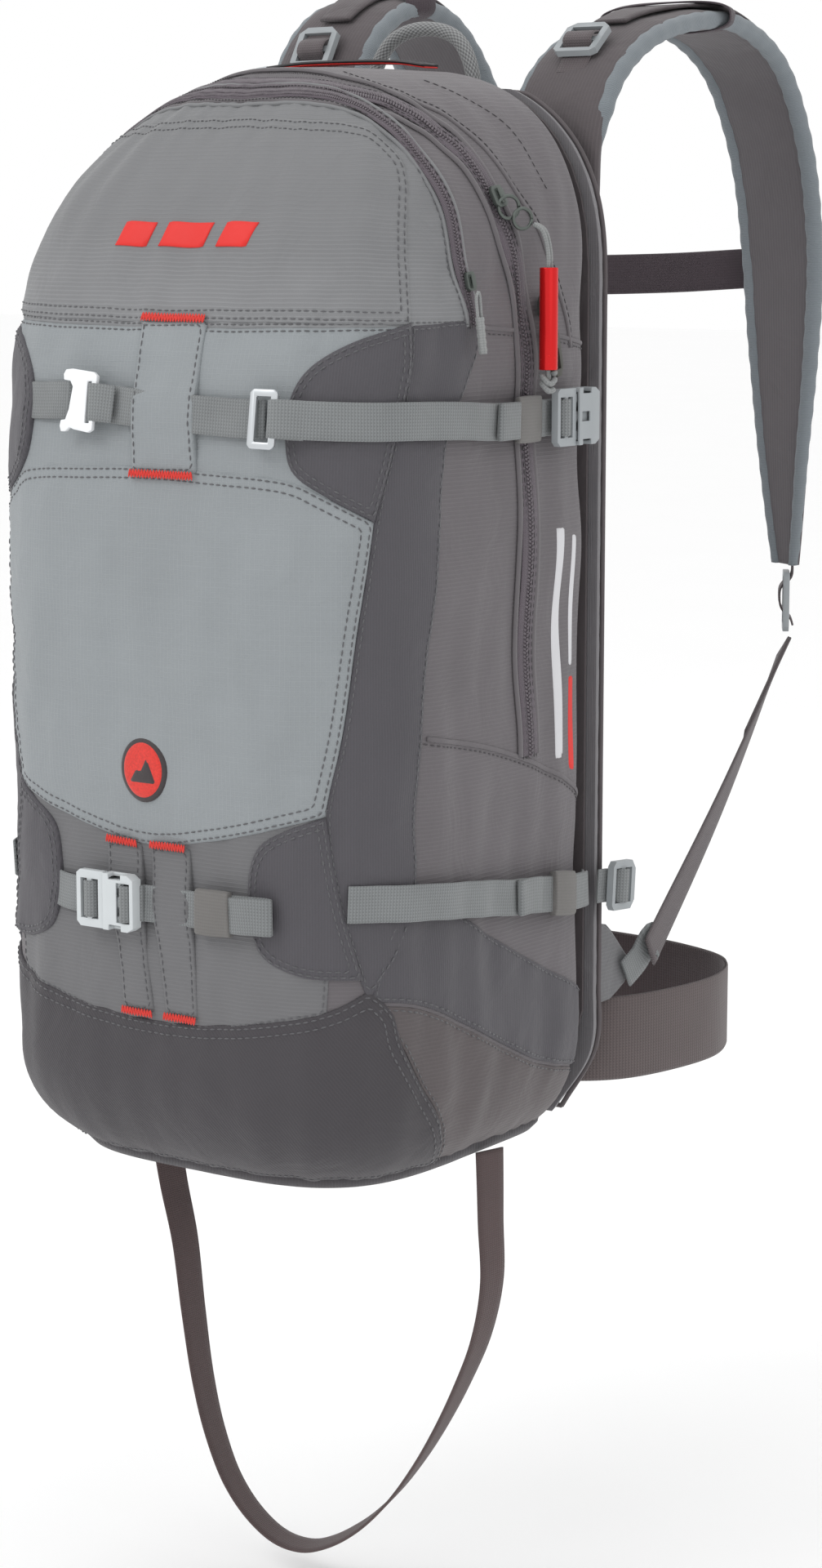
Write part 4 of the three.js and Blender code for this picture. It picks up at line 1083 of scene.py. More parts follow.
def buckle(tag, seat, body, nodes, material, window, stretch=(1, 1, 1), strap=None):
    """A side-release buckle: a plug with two sprung prongs and a ladder bar, and its housing."""
    def sized(x0, x1, y0, y1, z0, z1):
        return block(x0 * stretch[0], x1 * stretch[0], y0 * stretch[1], y1 * stretch[1],
                     z0 * stretch[2], z1 * stretch[2])
    shell = [(0, -15.5), (17, -15.5), (21, -13), (21, 13), (17, 15.5), (0, 15.5)]
    holes = [sized(-1, 15, -13.2, 13.2, 1.3, 6.1), sized(4, 12.5, 12.4, 17, 2, 9), sized(4, 12.5, -17, -12.4, 2, 9)]
    if window:
        holes += [sized(9.5, 18.6, -10.8, 10.8, -1, 9)]
    else:
        holes += [sized(3, 11, -2.6, 2.6, 5, 9)]
    moulded(tag + "_housing_shell", seat, [plate([(x * stretch[0], y * stretch[1]) for x, y in shell], 0,
            7.4 * stretch[2])], holes, material, "root", 0.9, (nodes + "_housing",))
    frame_shape = [(-19, -13.5), (-17, -15.5), (-1, -15.5), (-1, 15.5), (-17, 15.5), (-19.6, 13.5), (-19.6, -13)]
    solids = [plate([(x * stretch[0], y * stretch[1]) for x, y in frame_shape], 1.7 * stretch[2], 5.7 * stretch[2]),
              sized(-2, 13, -2.8, 2.8, 2.2, 5.2)]
    for hand in (-1, 1):
        prong = [(-2, 7.8), (8, 7.4), (12.5, 8.6), (13.6, 10.4), (11.5, 12.3), (-2, 12.2)]
        solids.append(plate([(x * stretch[0], y * hand * stretch[1]) for x, y in prong[::hand]],
                            2.0 * stretch[2], 5.4 * stretch[2]))
    slots = [sized(-16.8, -12.2, -11, 11, 0, 8), sized(-9.2, -4.4, -11, 11, 0, 8)]
    moulded(tag + "_plug_frame", seat, solids, slots, material, body, 0.6, (nodes + "_plug",))
    if strap is not None:
        width, strap_material, strap_slot = strap
        low, high = 1.7 * stretch[2], 5.7 * stretch[2]
        loop = [(-15.2, low + 0.2), (-14.6, low + 1.6), (-13.2, high + 0.4), (-10.7, high + 1.4), (-8.2, high + 0.4),
                (-6.9, low + 1.6), (-6.2, low + 0.2)]
        threaded(tag + "_plug_strap", seat, [(x * stretch[0], z) for x, z in loop], width, strap_material,
                 body)
        if window:
            bar = [(8.6, 0.4), (10.4, 1.6), (11.6, 5.6), (13.6, 8.3), (16, 8.3), (18, 6.0), (19.4, 2.2), (22, -0.8)]
            threaded(tag + "_housing_strap", seat, [(x * stretch[0], z) for x, z in bar], width, strap_material)


side_seat = Seat((0.14403, -0.07082, -0.209), (-0.0114, 0.9999, 0), (0.9999, 0.0114, -0.0003))
buckle("side_buckle", side_seat, "side_plug", "side_buckle", plastic_light, False,
       strap=(20, webbing_light, "webbing_light"))

# ---- Lower compression straps ----
# The front one closes over the tool sleeves with a pale buckle. One on each side starts at the
# corner band, runs back under a keeper and turns round a ladder-lock at the bag's rear edge.
LOWER = LOWER_STRAP_Z
ribbon("lower_front_stub", over_front((-84, LOWER + 1, 2.0), (-70, LOWER + 1, 2.6), (-60, LOWER, 4.2),
       (-50, LOWER, 6.2), (-43, LOWER, 6.8)), 20, 1.4, webbing_light)
ribbon("lower_front_webbing", over_front(
    (-3, LOWER, 7.4), (2, LOWER, 6.2), (40, LOWER, BASE_LIFT), (70, LOWER + 1, 6.4), (77.5, LOWER + 1, 7.0),
    (80, LOWER + 1, 8.8), (77.5, LOWER + 1, 10.6), (70, LOWER + 1, 10.8), (58, LOWER, 9.0), (46, LOWER, 8.0)),
    20, 1.4, webbing_light, ("front_webbing",))
keeper("lower_front_keeper", over_front((35.5, LOWER, 7.4), (46, LOWER, 7.5), (56, LOWER, 7.6)), thickness=5.6)
front_seat = Seat((-0.02274, -0.26304, -0.464), (1, -0.009, 0), (-0.009, -1, 0))
buckle("front_buckle", front_seat, "front_plug", "front_buckle", plastic_bright, True,
       strap=(20, webbing_light, "webbing_light"))


def ladder_lock(name, seat, length, body, material, width=28, node=None, strap=None):
    """A moulded frame with two slots and a raised lip; the webbing goes over its middle bar."""
    half = width / 2
    shape = [(0, -half + 3), (2.5, -half), (length - 4, -half), (length, -half + 5), (length, half - 5),
             (length - 4, half), (2.5, half), (0, half - 3)]
    piece = moulded(name, seat, [plate(shape, 0, 4)], [block(3, 9, 4 - half, half - 4, -1, 5),
                    block(13, length - 4, 4 - half, half - 4, -1, 5)], material, body, 0.9, (node,))
    if strap is not None:
        thread_material, thread_slot, path = strap
        threaded(name + "_strap", seat, path, width - 8.6, thread_material, body)
    return piece


lock_loop = [(20, -2.6), (17.5, -0.4), (15.6, 2.6), (13.4, 5.6), (11, 6.4), (8.4, 5.6), (6.6, 2.6), (4.8, -0.6),
             (1, -2.4), (-6, -2.6)]
for hand, tag in ((1, "right"), (-1, "left")):
    path = over_side((-205, LOWER + 8, 3.2), (-188, LOWER + 7, 4.4), (-164, LOWER + 5, BASE_LIFT),
                     (-120, LOWER, BASE_LIFT), (-91, LOWER - 4, BASE_LIFT), (-36, LOWER - 10, BASE_LIFT),
                     (-18, LOWER - 12, 6.0), (-9, LOWER - 12.5, 5.6))
    tail = over_side((-14, LOWER - 12, 8.0), (-36, LOWER - 10, 7.7), (-86, LOWER - 4.4, 7.8),
                     (-90.8, LOWER - 4, 8.6), (-90.8, LOWER - 4, 10.0), (-87, LOWER - 4.2, 10.6),
                     (-74, LOWER - 5, 9.6), (-66, LOWER - 6, 8.9))
    loop = over_side((-54, LOWER - 7.6, 8.0), (-45, LOWER - 8.8, 8.1), (-36, LOWER - 10, 8.0))
    turn_side = (lambda line: line) if hand > 0 else to_left
    ribbon("lower_webbing_" + tag + "_strap", turn_side(path), 20, 1.4, webbing_light,
           ("lower_webbing_" + tag,))
    ribbon("lower_webbing_" + tag + "_tail", turn_side(tail), 20, 1.4, webbing_light)
    keeper("lower_keeper_" + tag, turn_side(loop), thickness=6.0)
    lock_seat = Seat((hand * 0.1442, -0.026, -0.4765), (0, 0.9968, -0.0797), (hand, 0, 0))
    ladder_lock("lower_lock_frame_" + tag, lock_seat, 24, "side_lock_" + tag, plastic_light,
                node="lower_lock_" + tag, strap=(webbing_light, "webbing_light", lock_loop))
ribbon("daisy_stub", over_front((-128, 185, 3.2), (-128.4, 175, 3.4), (-128, 165, 3.2)), 12, 1.4, webbing_light)

# ---- Marks ----
# Plain stand-ins for the printed word, the round patch and the side lettering: slanted red bars,
# a red disc with a dark rim and a peak on it, and two stripes.
print_red = plastic_finish("print_red", (214, 30, 22), 0.55)
print_white = plastic_finish("print_white", (204, 204, 207), 0.6)
patch_dark = thread_finish("patch_dark", (48, 40, 42))


def on_cloth(name, rim, lift, material, slot, rise=0.5, cell=3.0):
    return Panel(rim, lift, rise, 0, 0).build(name, material, slot, cell)


for number, (start, end) in enumerate(((-38, -14), (-9, 24), (29, 52))):
    bar = chained(front((start, 501), (end - 4, 501)), front((end - 3.9, 501.2), (end - 0.1, 512.8)),
                  front((end, 513), (start + 4, 513)), front((start + 3.9, 512.8), (start + 0.1, 501.2)))
    on_cloth("front_mark_%d" % number, bar, 4.7, print_red, "red_metal")


def ellipse(centre, width, height, count=40):
    turns = np.arange(count) * 2 * math.pi / count
    return np.asarray(centre) + np.stack([np.cos(turns) * width / 2, np.sin(turns) * height / 2], 1)


patch_centre = front((-1, 228))[0]
on_cloth("patch_rim", ellipse(patch_centre, 31, 35), 4.0, patch_dark, "red_metal", 1.2)
on_cloth("patch_disc", ellipse(patch_centre, 26.5, 30.5), 4.6, thread_red, "red_metal", 1.0, 2.2)
peak = patch_centre + np.array([(-9, -7), (-3.6, 1.5), (-1.6, -1.5), (3.2, 7.5), (9.5, -7)])
on_cloth("patch_peak", spaced_flat(np.vstack([peak, peak[:1]]))[:-1], 5.4, patch_dark, "red_metal", 0.6, 2)
for name, points, material, slot in (
        ("side_stripe_white", ((-46, 350), (-38, 350), (-36, 222), (-44, 222)), print_white, "plastic_light"),
        ("side_stripe_thin", ((-27, 345), (-22, 345), (-22, 272), (-27, 272)), print_white, "plastic_light"),
        ("side_stripe_red", ((-27, 266), (-20, 266), (-19, 212), (-26, 214)), print_red, "red_metal")):
    corners = side(*points)
    on_cloth(name, spaced_flat(np.vstack([corners, corners[:1]]))[:-1], -0.1, material, slot, 0.45, 4)

# ---- Zip sliders and pulls ----
# Cast sliders with a bridge, linked rings, a dark faceted tab on the lower one, a cord pull on
# the pocket's, and a red anodised tube on a knotted cord from the upper one.
metal_dark = plastic_finish("metal_gunmetal", (92, 98, 94), 0.35, 0.7)
tab_dark = plastic_finish("tab_dark", (66, 66, 60), 0.5)
red_metal = plastic_finish("red_metal", (205, 20, 22), 0.24, 0.55, 0.05)


def slider(name, seat, length, width, body, node):
    half = width / 2
    shape = [(-length / 2, -half * 0.7), (-length / 4, -half), (length / 3, -half), (length / 2, -half * 0.55),
             (length / 2, half * 0.55), (length / 3, half), (-length / 4, half), (-length / 2, half * 0.7)]
    solids = [plate(shape, 0, 2.2), block(-length * 0.36, length * 0.36, -1.3, 1.3, 1.6, 3.6)]
    moulded(name, seat, solids, [block(-length * 0.22, length * 0.22, -2, 2, 2.3, 3.0)], metal_dark,
            body, 0.4, (node,))


def tube_along(name, points, radius, material, body, sides=10, step=1.2, wobble=0.0):
    """A round cord or wire along drawing points."""
    line = smooth_line(points, step)
    ahead = tangents(line)
    first = np.cross(ahead, [0.31, 0.22, 0.93])
    across = unit(first)
    turns = np.arange(sides) * 2 * math.pi / sides
    section = np.stack([np.cos(turns), np.sin(turns)], 1) * radius
    sections = np.repeat(section[None], len(line), 0)
    sections = sections * (1 + wobble * np.sin(np.arange(len(line)) * 1.9))[:, None, None]
    piece = loft(name, line, across, np.cross(ahead, across), sections, material, flat_uv=False)
    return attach(piece, body)


cord_grey = webbing_finish("cord_grey", (132, 134, 134), rib=1.4, chevron=1.2, contrast=0.4)
low_seat = Seat((0.13965, -0.09047, -0.14994), (0.021, -0.0001, -0.9998), (0.9998, -0.0046, 0.021))
slider("main_slider_low_body", low_seat, 12, 10, "zip_slider_low", "main_slider_low")
pull_seat = Seat((0.14312, -0.09082, -0.15391), (0.0154, 0.2425, -0.97), (0.9999, -0.0025, 0.0152))
tab_shape = [(6, -4), (13, -5), (17, -5), (29, -4.8), (34, -2), (34, 2), (29, 4.8), (17, 5), (13, 5), (6, 4)]
moulded("main_pull_low_tab", pull_seat, [plate(tab_shape, 0.2, 2.6), block(0.2, 8, -2.6, 2.6, 0.6, 2.2)],
        [block(1.6, 5, -1.4, 1.4, -1, 4), block(19, 30, -2.4, 2.4, -1, 4)], tab_dark,
        "zip_pull_low", 0.45, ("main_pull_low",))
high_seat = Seat((0.12861, -0.11861, -0.09187), (0.3997, 0.0838, -0.9128), (0.9148, -0.1003, 0.3914))
slider("main_slider_high_body", high_seat, 12, 10, "zip_slider_high", "main_slider_high")
pocket_seat = Seat((0.13824, -0.15911, -0.13535), (0.1623, 0.0846, -0.9831), (0.9832, -0.0984, 0.1538))
slider("pocket_slider_body", pocket_seat, 10, 7, "pocket_zip_slider", "pocket_slider")
cord_seat = Seat((0.14183, -0.1589, -0.13907), (0.129, -0.0114, -0.9916), (0.9877, -0.0876, 0.1295))
pocket_cords = [tube_along("pocket_pull_cord", cord_seat.drawn([(1.6, 0, 2.2), (4, -1.4, 1.7), (12, -1.5, 1.4),
                (24, -1.1, 1.4), (33, 0, 1.4), (24, 1.1, 1.5), (12, 1.5, 1.4), (4, 1.4, 1.7), (1.7, 0.3, 2.2)]), 0.85,
                cord_grey, "pocket_zip_pull")]
tube_along("pocket_pull_grip", cord_seat.drawn([(15, 0, 1.4), (20, 0, 1.4), (26, 0, 1.4), (34, 0, 1.4)]), 2.3,
           cord_grey, "pocket_zip_pull", 14, wobble=0.08)
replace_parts(pocket_cords[0], "pocket_pull")

TUBE_X, TUBE_Y, TUBE_FOOT, TUBE_LENGTH = 153, -77, 437.5, 54
tube_axis = place((TUBE_X, TUBE_Y, TUBE_FOOT))[0]
tube_seat = Seat(tuple(tube_axis), (0, -1, 0), (0, 0, 1))
moulded("tube_pull_tube", tube_seat, [rod((0, 0, 0), (0, 0, TUBE_LENGTH), 5)], [rod((0, 0, -1), (0, 0, 5), 3.6),
        rod((0, 0, TUBE_LENGTH - 5), (0, 0, TUBE_LENGTH + 1), 3.6)], red_metal, "tube_pull", 0.5,
        ("tube_pull",))
for number, offset in enumerate((-1.2, 1.2)):
    tube_along("tube_pull_cord_%d" % number, [(145, -78 + offset, 514), (150, -78 + offset, 511),
               (TUBE_X, TUBE_Y + offset, 500), (TUBE_X, TUBE_Y + offset, TUBE_FOOT + TUBE_LENGTH - 4)], 1.3,
               cord_grey, "tube_pull")
knot = [(TUBE_X + 3.4 * math.cos(t), TUBE_Y + 3.4 * math.sin(t), TUBE_FOOT - 2.2 - 0.62 * t + 1.6 * math.sin(2 * t))
        for t in np.linspace(0, 4 * math.pi, 26)]
tube_along("tube_pull_knot", knot, 1.6, cord_grey, "tube_pull", 8, 1.0)
tube_along("tube_pull_core", [(TUBE_X, TUBE_Y, TUBE_FOOT + 5), (TUBE_X, TUBE_Y, TUBE_FOOT - 4),
           (TUBE_X + 0.6, TUBE_Y, TUBE_FOOT - 10.5)], 1.7, cord_grey, "tube_pull")
for number, (x, z, size) in enumerate(((134.5, 523, 6.0), (140, 517, 5.4))):
    ring = [(x + size * 0.55 * math.cos(t), -88 + size * 0.8 * math.cos(t) + 5 * number, z + size * math.sin(t))
            for t in np.linspace(0, 2 * math.pi, 17)]
    tube_along("tube_pull_link_%d" % number, ring, 1.0, metal_dark, "zip_slider_high", 8)

# ---- Back panel ----
# Foam against the wearer's back in grey fabric, edged with piping, with two long pads and a
# lumbar pad in spacer mesh. The straps come out from a yoke under its top edge.
def back_ground(level_y):
    def ground(x, z, lift):
        outwards = np.stack([0 * x, 0 * x + 1.0, 0 * x], -1)
        return np.stack([x + 0 * lift, level_y + lift + 0 * x, z + 0 * lift], -1), outwards
    return ground


def back_half_width(z):
    return bag_sizes(np.asarray(z, float))[3]


def back_rim(inset, low, high):
    z = low + (high - low) * (1 - (1 - np.linspace(0, 1, 30)) ** 2)
    right_side = np.stack([back_half_width(z) - inset, z], 1)
    return chained(right_side, flipped(right_side))


harness_fabric = fabric_finish("harness_fabric", (84, 78, 80), "ribs", 0.2, roughness=0.82)
foam_fabric = fabric_finish("foam", (112, 110, 113), "columns", 0.14)
mesh_fabric = Finish("spacer_mesh", 0.85, Sheen_Weight=0.2)
mesh_across, mesh_up = mesh_fabric.cloth()
cells = (mesh_across + mesh_up).wave(3.6) * (mesh_across - mesh_up).wave(3.6)
holes_of_mesh = cells.between(0.3, 0.6)
mesh_fabric.colour(mesh_fabric.mix(holes_of_mesh, linear((86, 84, 88)), linear((40, 38, 42))))
mesh_fabric.bump(1 - holes_of_mesh, 0.6, 0.0008)
binding = webbing_finish("strap_binding", (116, 123, 128), rib=1.1, contrast=0.14)

back_face = Panel(back_rim(2, 6, 588), lift=0.0, rise=8.6, puff=0.8, pucker=0.3, seed=20)
back_face.roll, back_face.ground, back_face.base = 6.0, back_ground(2.9), 0.0
back_piece = back_face.build("back_panel_cover", foam_fabric, "foam", 7, ("back_panel",))
pad_rim = smooth_rim([(26, 150), (44, 149), (60, 150), (80, 160), (90, 178), (96, 205), (97, 320), (95, 440),
                      (92, 466), (80, 478), (60, 480), (42, 478), (32, 466), (26, 440), (24, 300), (26, 170), (26, 150)])
lumbar_rim = smooth_rim([(-60, 40), (0, 39), (60, 40), (73, 50), (77, 70), (77, 128), (73, 150), (60, 158), (30, 148),
                         (0, 146), (-30, 148), (-60, 158), (-73, 150), (-77, 128), (-77, 70), (-73, 50), (-60, 40)])
for name, rim in (("back_pad_right", pad_rim), ("back_pad_left", flipped(pad_rim)), ("lumbar_pad", lumbar_rim)):
    pad = Panel(rim, lift=0.0, rise=5.5, puff=4.4, pucker=0.5, seed=21)
    pad.roll, pad.ground, pad.base = 5.0, back_ground(13.0), -1.0
    piece = pad.build(name, mesh_fabric.material, "foam", 5)
    if name == "back_pad_right":
        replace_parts(piece, "back_padding")
edge_line = back_rim(3.4, 8, 586)
edge_points = np.stack([edge_line[:, 0], np.full(len(edge_line), 10.8), edge_line[:, 1]], 1)
tube_along("back_panel_piping", np.vstack([edge_points[::3], edge_points[:1]]), 1.5, harness_fabric,
           "root")

# ---- Shoulder straps ----
# Padded straps bound in blue-grey elastic. Each tapers to the webbing that a ladder-lock holds.
def strap_frames(path, turn, step=3.0):
    centres = smooth_line(path, step)
    sides_given = smooth_line(turn, 0.02)
    share = np.linspace(0, len(sides_given) - 1, len(centres))
    sides = unit(np.stack([np.interp(share, range(len(sides_given)), c) for c in sides_given.T], 1))
    ahead = tangents(centres)
    sides = -unit(sides - ahead * np.sum(sides * ahead, 1, keepdims=True))
    return centres, sides, np.cross(ahead, sides), ahead


strap_paths = {
    "right": [(88, 26, 530), (88, 29, 560), (88, 46, 592), (88, 78, 615), (89, 125, 629), (91, 185, 631), (92, 238, 608),
              (93, 271, 560), (94, 286, 500), (95, 289, 430), (95, 291, 370), (94, 298, 300)],
    "left": [(-88, 26, 530), (-88, 29, 560), (-88, 41, 595), (-88, 66, 627), (-89, 104, 643), (-90, 146, 636),
             (-92, 186, 603), (-93, 214, 550), (-94, 231, 480), (-94, 240, 410), (-94, 248, 310)]}
strap_turns = {
    "right": [(1, 0, 0), (1, 0, 0), (1, -0.1, 0), (0.94, -0.34, 0), (0.94, -0.34, 0), (0.94, -0.3, 0)],
    "left": [(1, 0, 0), (1, 0, 0), (1, 0.05, 0), (1, 0.1, 0), (1, 0.1, 0)]}
webbing_dark = webbing_finish("webbing_dark", (84, 77, 79), rib=1.4, contrast=0.35)
elastic_dark = webbing_finish("elastic_dark", (66, 56, 62), rib=1.2, chevron=2.2, contrast=0.35)
strap_lining = fabric_finish("strap_lining", (92, 88, 91), "ribs", 0.16)
lock_paths = {"lifter": [(24, 1.0), (20, 1.2), (17, 4.0), (14.4, 6.0), (11, 6.6), (8, 5.8), (6.4, 2.6), (4.4, -0.8),
                         (0, -2.2), (-9, -4.5)]}
adjust_seats = {"right": Seat((0.09573, 0.27101, -0.325), (0, 0, -1), (-0.8645, -0.5026, 0)),
                "left": Seat((-0.09573, 0.22101, -0.315), (0, 0, -1), (0.8645, -0.5026, 0))}
lifter_seats = {"right": Seat((0.08793, 0.02159, -0.01243), (-0.0029, 0.7732, 0.6341), (-0.0045, -0.6341, 0.7732)),
                "left": Seat((-0.08819, 0.00828, -0.01546), (0.0023, 0.5061, 0.8625), (-0.0227, -0.8622, 0.506))}
for tag, hand in (("right", 1), ("left", -1)):
    centres, sides, outs, ahead = strap_frames(strap_paths[tag], strap_turns[tag])
    t = np.linspace(0, 1, len(centres))
    taper = np.clip((t - 0.66) / 0.34, 0, 1)
    width = 63 - 41 * taper ** 1.6
    thick = 11.4 - 6.2 * taper ** 1.4
    turns = np.arange(36) * 2 * math.pi / 36
    reach = (np.abs(np.cos(turns)) ** 3 + np.abs(np.sin(turns)) ** 3) ** (-1 / 3)
    section = np.stack([reach * np.cos(turns), reach * np.sin(turns)], 1)
    for layer, sign, material, slot in (("cover", 1, harness_fabric, "harness_fabric"),
                                        ("lining", -1, strap_lining, "harness_fabric")):
        half = section.copy()
        half[:, 1] = np.where(half[:, 1] * sign > 0, half[:, 1], half[:, 1] * 0.12)
        swell = 1 + 0.05 * np.sin(np.arange(len(t)) * 0.45 + sign) * (1 - taper)
        sections = np.stack([half[None, :, 0] * width[:, None] / 2,
                             half[None, :, 1] * (thick * swell)[:, None] / 2], -1)
        piece = loft("shoulder_strap_%s_%s" % (tag, layer), centres, sides, outs, sections, material)
        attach(piece, "root")
        if sign > 0:
            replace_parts(piece, "shoulder_strap_" + tag)
    for edge in (-1, 1):
        gather = 1 + 0.05 * np.sin(np.arange(len(t)) * 1.3 + edge)
        line = centres + sides * (edge * (width / 2 - 3.4))[:, None] - outs * 1.2
        round_section = np.stack([np.cos(turns[::3]) * 5.4, np.sin(turns[::3]) * 5.2], 1)
        sections = round_section[None] * (gather * np.clip(1.1 - 0.45 * taper, 0.4, 1) * np.clip(t / 0.08, 0.1, 1))[:, None, None]
        piece = loft("strap_binding_%s_%s" % (tag, "in" if edge * hand > 0 else "out"), line, sides, outs, sections,
                     binding, flat_uv=False)
        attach(piece, "root")
    start, stop = int(len(t) * 0.2), int(len(t) * 0.41)
    tongue_share = np.linspace(0, 1, stop - start)
    tongue_centres = centres[start:stop] + outs[start:stop] * (8.6 - 1.6 * tongue_share)[:, None]
    tongue_section = np.repeat(flat_section(1, 2.2)[None], stop - start, 0)
    tongue_section[..., 0] *= (22 + 26 * np.clip(tongue_share * 1.6, 0, 1) ** 1.3)[:, None]
    piece = loft("lifter_tongue_" + tag, tongue_centres, sides[start:stop], outs[start:stop], tongue_section,
                 harness_fabric)
    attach(piece, "root")
    at = int(len(t) * 0.3)
    around = np.linspace(-0.06, 2 * math.pi - 0.02, 90)
    around_reach = (np.abs(np.cos(around)) ** 3.2 + np.abs(np.sin(around)) ** 3.2) ** (-1 / 3.2)
    band_side = around_reach * np.cos(around) * 34.2
    band_out = around_reach * np.sin(around) * 9.0 + 0.9
    station = at - hand * band_side * 0.5 / 3.0
    def here(rows):
        return np.stack([np.interp(station, range(len(rows)), column) for column in rows.T], 1)
    band_line = here(centres) + here(sides) * band_side[:, None] + here(outs) * band_out[:, None]
    band_sides = unit(here(ahead) + here(sides) * 0.45 * hand)
    piece = webbing("elastic_band_" + tag, band_line, band_sides, 21, 1.1, elastic_dark)
    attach(piece, "root")
    ladder_lock("lifter_lock_frame_" + tag, lifter_seats[tag], 26, "lifter_" + tag, plastic_light,
                node="lifter_lock_" + tag, strap=(webbing_dark, "webbing_dark",
                                                  [(x - 13 + 13, z) for x, z in lock_paths["lifter"]]))
    ladder_lock("strap_adjuster_frame_" + tag, adjust_seats[tag], 38, "adjuster_" + tag, plastic_light,
                node="strap_adjuster_" + tag,
                strap=(webbing_dark, "webbing_dark", [(34, -2.4), (30, -1), (26.5, 2.4), (22, 5.4), (16, 6.2),
                                                      (11, 5.8), (8, 4), (5.8, 1), (2, -1.4), (-10, -1.6)]))
    foot = np.array([hand * 143, 52, 96])
    end = np.array(strap_paths[tag][-1], float)
    top = end - [0, 0, 54]
    sway = np.array([0.5, -0.86 * hand, 0])
    lie = np.array([0, -0.55 * hand, 0.83])
    line = smooth_line([top, (top + foot) / 2 - [0, 0, 6], foot], 4)
    share = np.linspace(0, 1, len(line))[:, None]
    piece = webbing("strap_webbing_%s_long" % tag, line, sway * (1 - share) + lie * share, 20, 1.6, webbing_dark)
    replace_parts(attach(piece, "root"), "strap_webbing_" + tag)
    fold = line[: len(line) // 3] + np.cross(tangents(line), sway * (1 - share) + lie * share)[: len(line) // 3] * 2.0
    piece = webbing("strap_webbing_%s_tail" % tag, fold, (sway * (1 - share) + lie * share)[: len(fold)], 20, 1.4,
                    webbing_dark)
    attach(piece, "root")


def wing_ground(hand):
    def ground(y, z, lift):
        return np.stack([hand * (128 + lift + 0 * y), y + 0 * lift, z + 0 * lift], -1), None
    return ground


for tag, hand in (("right", 1), ("left", -1)):
    rim = spaced_flat(np.array([(8, 124), (8, 70), (30, 70), (48, 78), (50, 92), (30, 112), (8, 124)]))[:-1]
    wing = Panel(rim, lift=0.0, rise=2.6, puff=0.6, pucker=0.3, seed=22)
    wing.ground = wing_ground(hand)
    wing.build("anchor_wing_%s_cloth" % tag, fabric_lower, "fabric_grey", 5, ("anchor_wing_" + tag,))
    tab = smooth_line([(hand * 134, 40, 84), (hand * 136, 52, 92), (hand * 138, 60, 102), (hand * 137, 68, 96)], 1.5)
    piece = webbing("anchor_tab_" + tag, tab, np.repeat([[0, -0.6, 0.8]], len(tab), 0), 20, 1.8, webbing_light)
    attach(piece, "root")

# ---- Chest strap and hip belt ----
# Dark twill elastic across the chest, and a 50 mm ribbed belt whose inside is darker.
chest_right = smooth_line([(92, 297, 487), (64, 306.5, 486), (20, 283, 483), (-25, 252.2, 481.5), (-57, 246.5, 481)], 3)
chest_left = smooth_line([(-100, 241, 480), (-80, 243, 480.5), (-63, 245.5, 481)], 3)
for tag, line in (("right", chest_right), ("left", chest_left)):
    piece = webbing("chest_strap_%s_web" % tag, line, np.repeat([[0, 0, 1.0]], len(line), 0), 25, 1.6, elastic_dark)
    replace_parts(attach(piece, "root"), "chest_strap_" + tag)
plastic_dark = plastic_finish("plastic_dark", (52, 50, 54), 0.45)
chest_seat = Seat((-0.06023, 0.21928, -0.139), (0.9848, 0.174, 0), (-0.174, 0.9848, 0))
buckle("chest_buckle", chest_seat, "chest_plug", "chest_buckle", plastic_dark, False)
hip_seat = Seat((0, 0.1637, -0.574), (1, 0, 0), (0, 1, 0))
buckle("hip_buckle", hip_seat, "hip_plug", "hip_buckle", plastic_dark, False, (1.25, 1.7, 1.25))
belt_outer = webbing_finish("belt_outer", (84, 75, 75), rib=2.0, contrast=0.3)
belt_inner = webbing_finish("belt_inner", (56, 44, 46), rib=2.0, contrast=0.3)
for tag, hand in (("right", 1), ("left", -1)):
    line = smooth_line([(80 * hand, 16.5, 46), (106 * hand, 18, 46), (130 * hand, 38, 46), (145 * hand, 80, 46),
                        (147 * hand, 126, 46), (128 * hand, 164, 46), (86 * hand, 184, 46), (40 * hand, 190, 46),
                        (3 * hand, 190, 46)], 3)
    away = np.cross(tangents(line), [0, 0, 1.0]) * hand
    up = np.repeat([[0, 0, 1.0]], len(line), 0)
    outer = webbing("hip_belt_%s_outer" % tag, line + away * 0.65, up, 50, 1.3, belt_outer)
    inner = webbing("hip_belt_%s_inner" % tag, line - away * 0.65, up, 49, 1.2, belt_inner)
    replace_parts(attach(outer, "root"), "hip_belt_" + tag)
    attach(inner, "root")

# ---- Haul loop and top strap ----
# A round braided loop at the top of the back, and a flat dark strap with a red underside and a
# clear hook that clips across the lid.
half_loop = [(35, 23.6, 540), (35.5, 24, 575), (34, 26, 600), (22, 27.8, 618.5)]
loop_points = [*half_loop, (0, 28, 624.4), *[(-x, y, z) for x, y, z in half_loop[::-1]]]
braid = Finish("haul_braid", 0.75, Sheen_Weight=0.2)
braid_along, braid_round = braid.cloth()
strands = (braid_along + braid_round * 1.6).wave(3.4) * 0.5 + (braid_along - braid_round * 1.6).wave(3.4) * 0.5
braid.colour(braid.mix(strands, linear((84, 84, 86)), linear((148, 150, 150))))
braid.bump(strands, 0.7, 0.0008)
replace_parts(tube_along("haul_loop_cord", loop_points, 4.2, braid.material, "root", 16, 2.0),
            "grab_handle")
band = smooth_line([(-70, -24, 601.5), (-45, -24, 603.5), (-10, -22, 604), (20, -20, 603.2), (36, -18, 601)], 2)
strap_glossy = plastic_finish("strap_glossy", (40, 38, 40), 0.3)
flat_way = np.repeat([[0, 1.0, 0]], len(band), 0)
top_piece = webbing("top_strap_web", band + [0, 0, 0.4], flat_way, 18, 1.6, strap_glossy)
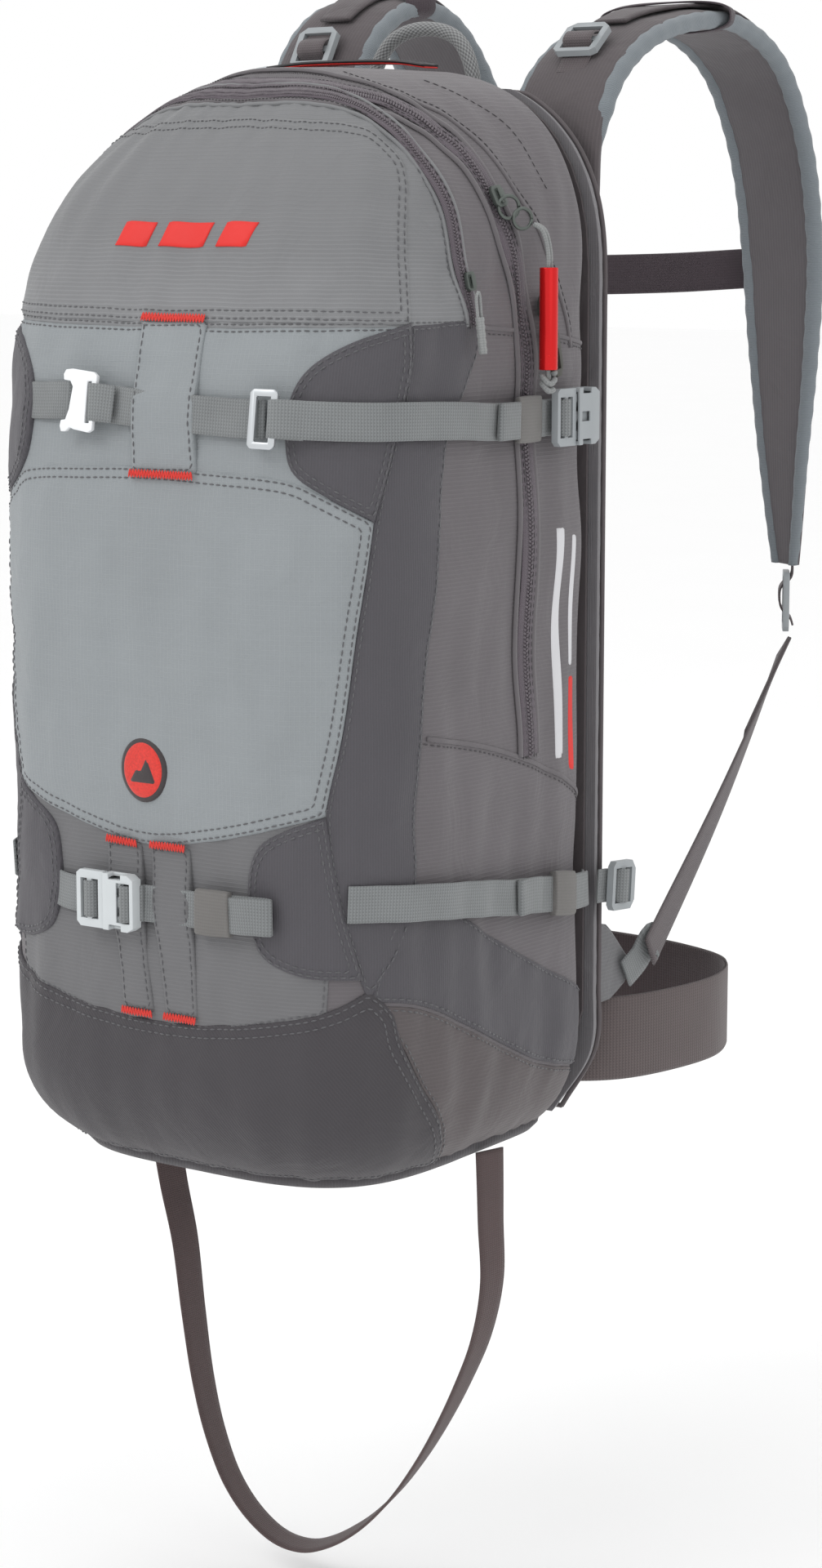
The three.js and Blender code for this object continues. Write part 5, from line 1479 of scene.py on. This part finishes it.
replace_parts(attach(top_piece, "root"), "top_strap")
lining_piece = webbing("top_strap_lining", band - [0, 0, 0.8], flat_way, 16.6, 0.8, print_red)
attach(lining_piece, "root")
top_hook_at = place((-70, -24, 600))[0]
top_hook_seat = Seat(tuple(top_hook_at), (-1, 0, -0.12), (-0.12, 0, 1))
moulded("top_strap_hook", top_hook_seat, [plate([(-2, -9), (15, -9), (22, -6), (24, 0), (22, 4), (18.5, 4), (18, -1),
        (14, -4.4), (6, -4), (6, 9), (-2, 9)], 0, 3)], [], plastic_bright, "root", 0.7)
leg_lock_seat = Seat((-0.11937, -0.1023, -0.621), (0, 0, -1), (0.9371, -0.3489, 0))
ladder_lock("leg_strap_lock_frame", leg_lock_seat, 27, "root", plastic_dark, node="leg_strap_lock")

# ---- Inside the bag ----
# The drawing's own frame, cartridge, inflation unit, hose and folded airbag, with better surfaces.
steel = plastic_finish("metal_grey", (150, 152, 154), 0.32, 0.85)
bottle_paint = plastic_finish("bottle_paint", (120, 124, 126), 0.35, 0.6)
airbag_cloth = plastic_finish("airbag_fabric", (214, 92, 30), 0.75)
shown = {"frame_sheet": harness_fabric, "frame_stay": steel, "strap_yoke": harness_fabric, "gas_cartridge": bottle_paint,
         "inflation_unit": plastic_dark, "release_pin": steel, "airbag_hose": plastic_dark,
         "folded_airbag": airbag_cloth, "cable_housing": plastic_dark, "trigger_handle": red_metal}
for node, material in shown.items():
    cad_object = bpy.data.objects[node]
    for index in range(len(cad_object.material_slots)):
        cad_object.material_slots[index].material = material


# ---- Floor and light ----
# A pale, plain studio: a large soft key from the front left, a weaker fill and a bright sky.
def area_light(name, where, target, size, power):
    data = bpy.data.lights.new(name, "AREA")
    data.shape = "DISK"
    data.size = size
    data.energy = power
    light = bpy.data.objects.new(name, data)
    light.location = where
    light.rotation_mode = "QUATERNION"
    light.rotation_quaternion = (Vector(target) - Vector(where)).to_track_quat("-Z", "Y")
    bpy.context.scene.collection.objects.link(light)


middle = (cad_low + cad_high) / 2
area_light("key_light", (-0.9, -2.2, 1.8), middle, 1.6, 20)
area_light("fill_light", (2.4, -1.4, 0.4), middle, 1.8, 3)
area_light("top_light", (0.2, 0.2, 2.0), middle, 1.4, 5)
world = bpy.data.worlds.new("studio")
world.use_nodes = True
world.node_tree.nodes["Background"].inputs["Color"].default_value = (1, 1, 1, 1)
world.node_tree.nodes["Background"].inputs["Strength"].default_value = 1.0
bpy.context.scene.world = world
bpy.context.scene.view_settings.view_transform = "Standard"
floor_finish = Finish("studio_floor", 0.9)
floor_finish.colour(floor_finish.mix(floor_finish.noise(floor_finish.body(), 3), (0.965, 0.965, 0.965, 1), (0.985, 0.985, 0.985, 1)))
bpy.ops.object.select_all(action="DESELECT")
bpy.ops.mesh.primitive_plane_add(size=40, location=(0, 0, cad_low.z - 0.02))
floor = bpy.context.object
floor.name = "studio_floor"
floor.data.materials.append(floor_finish.material)
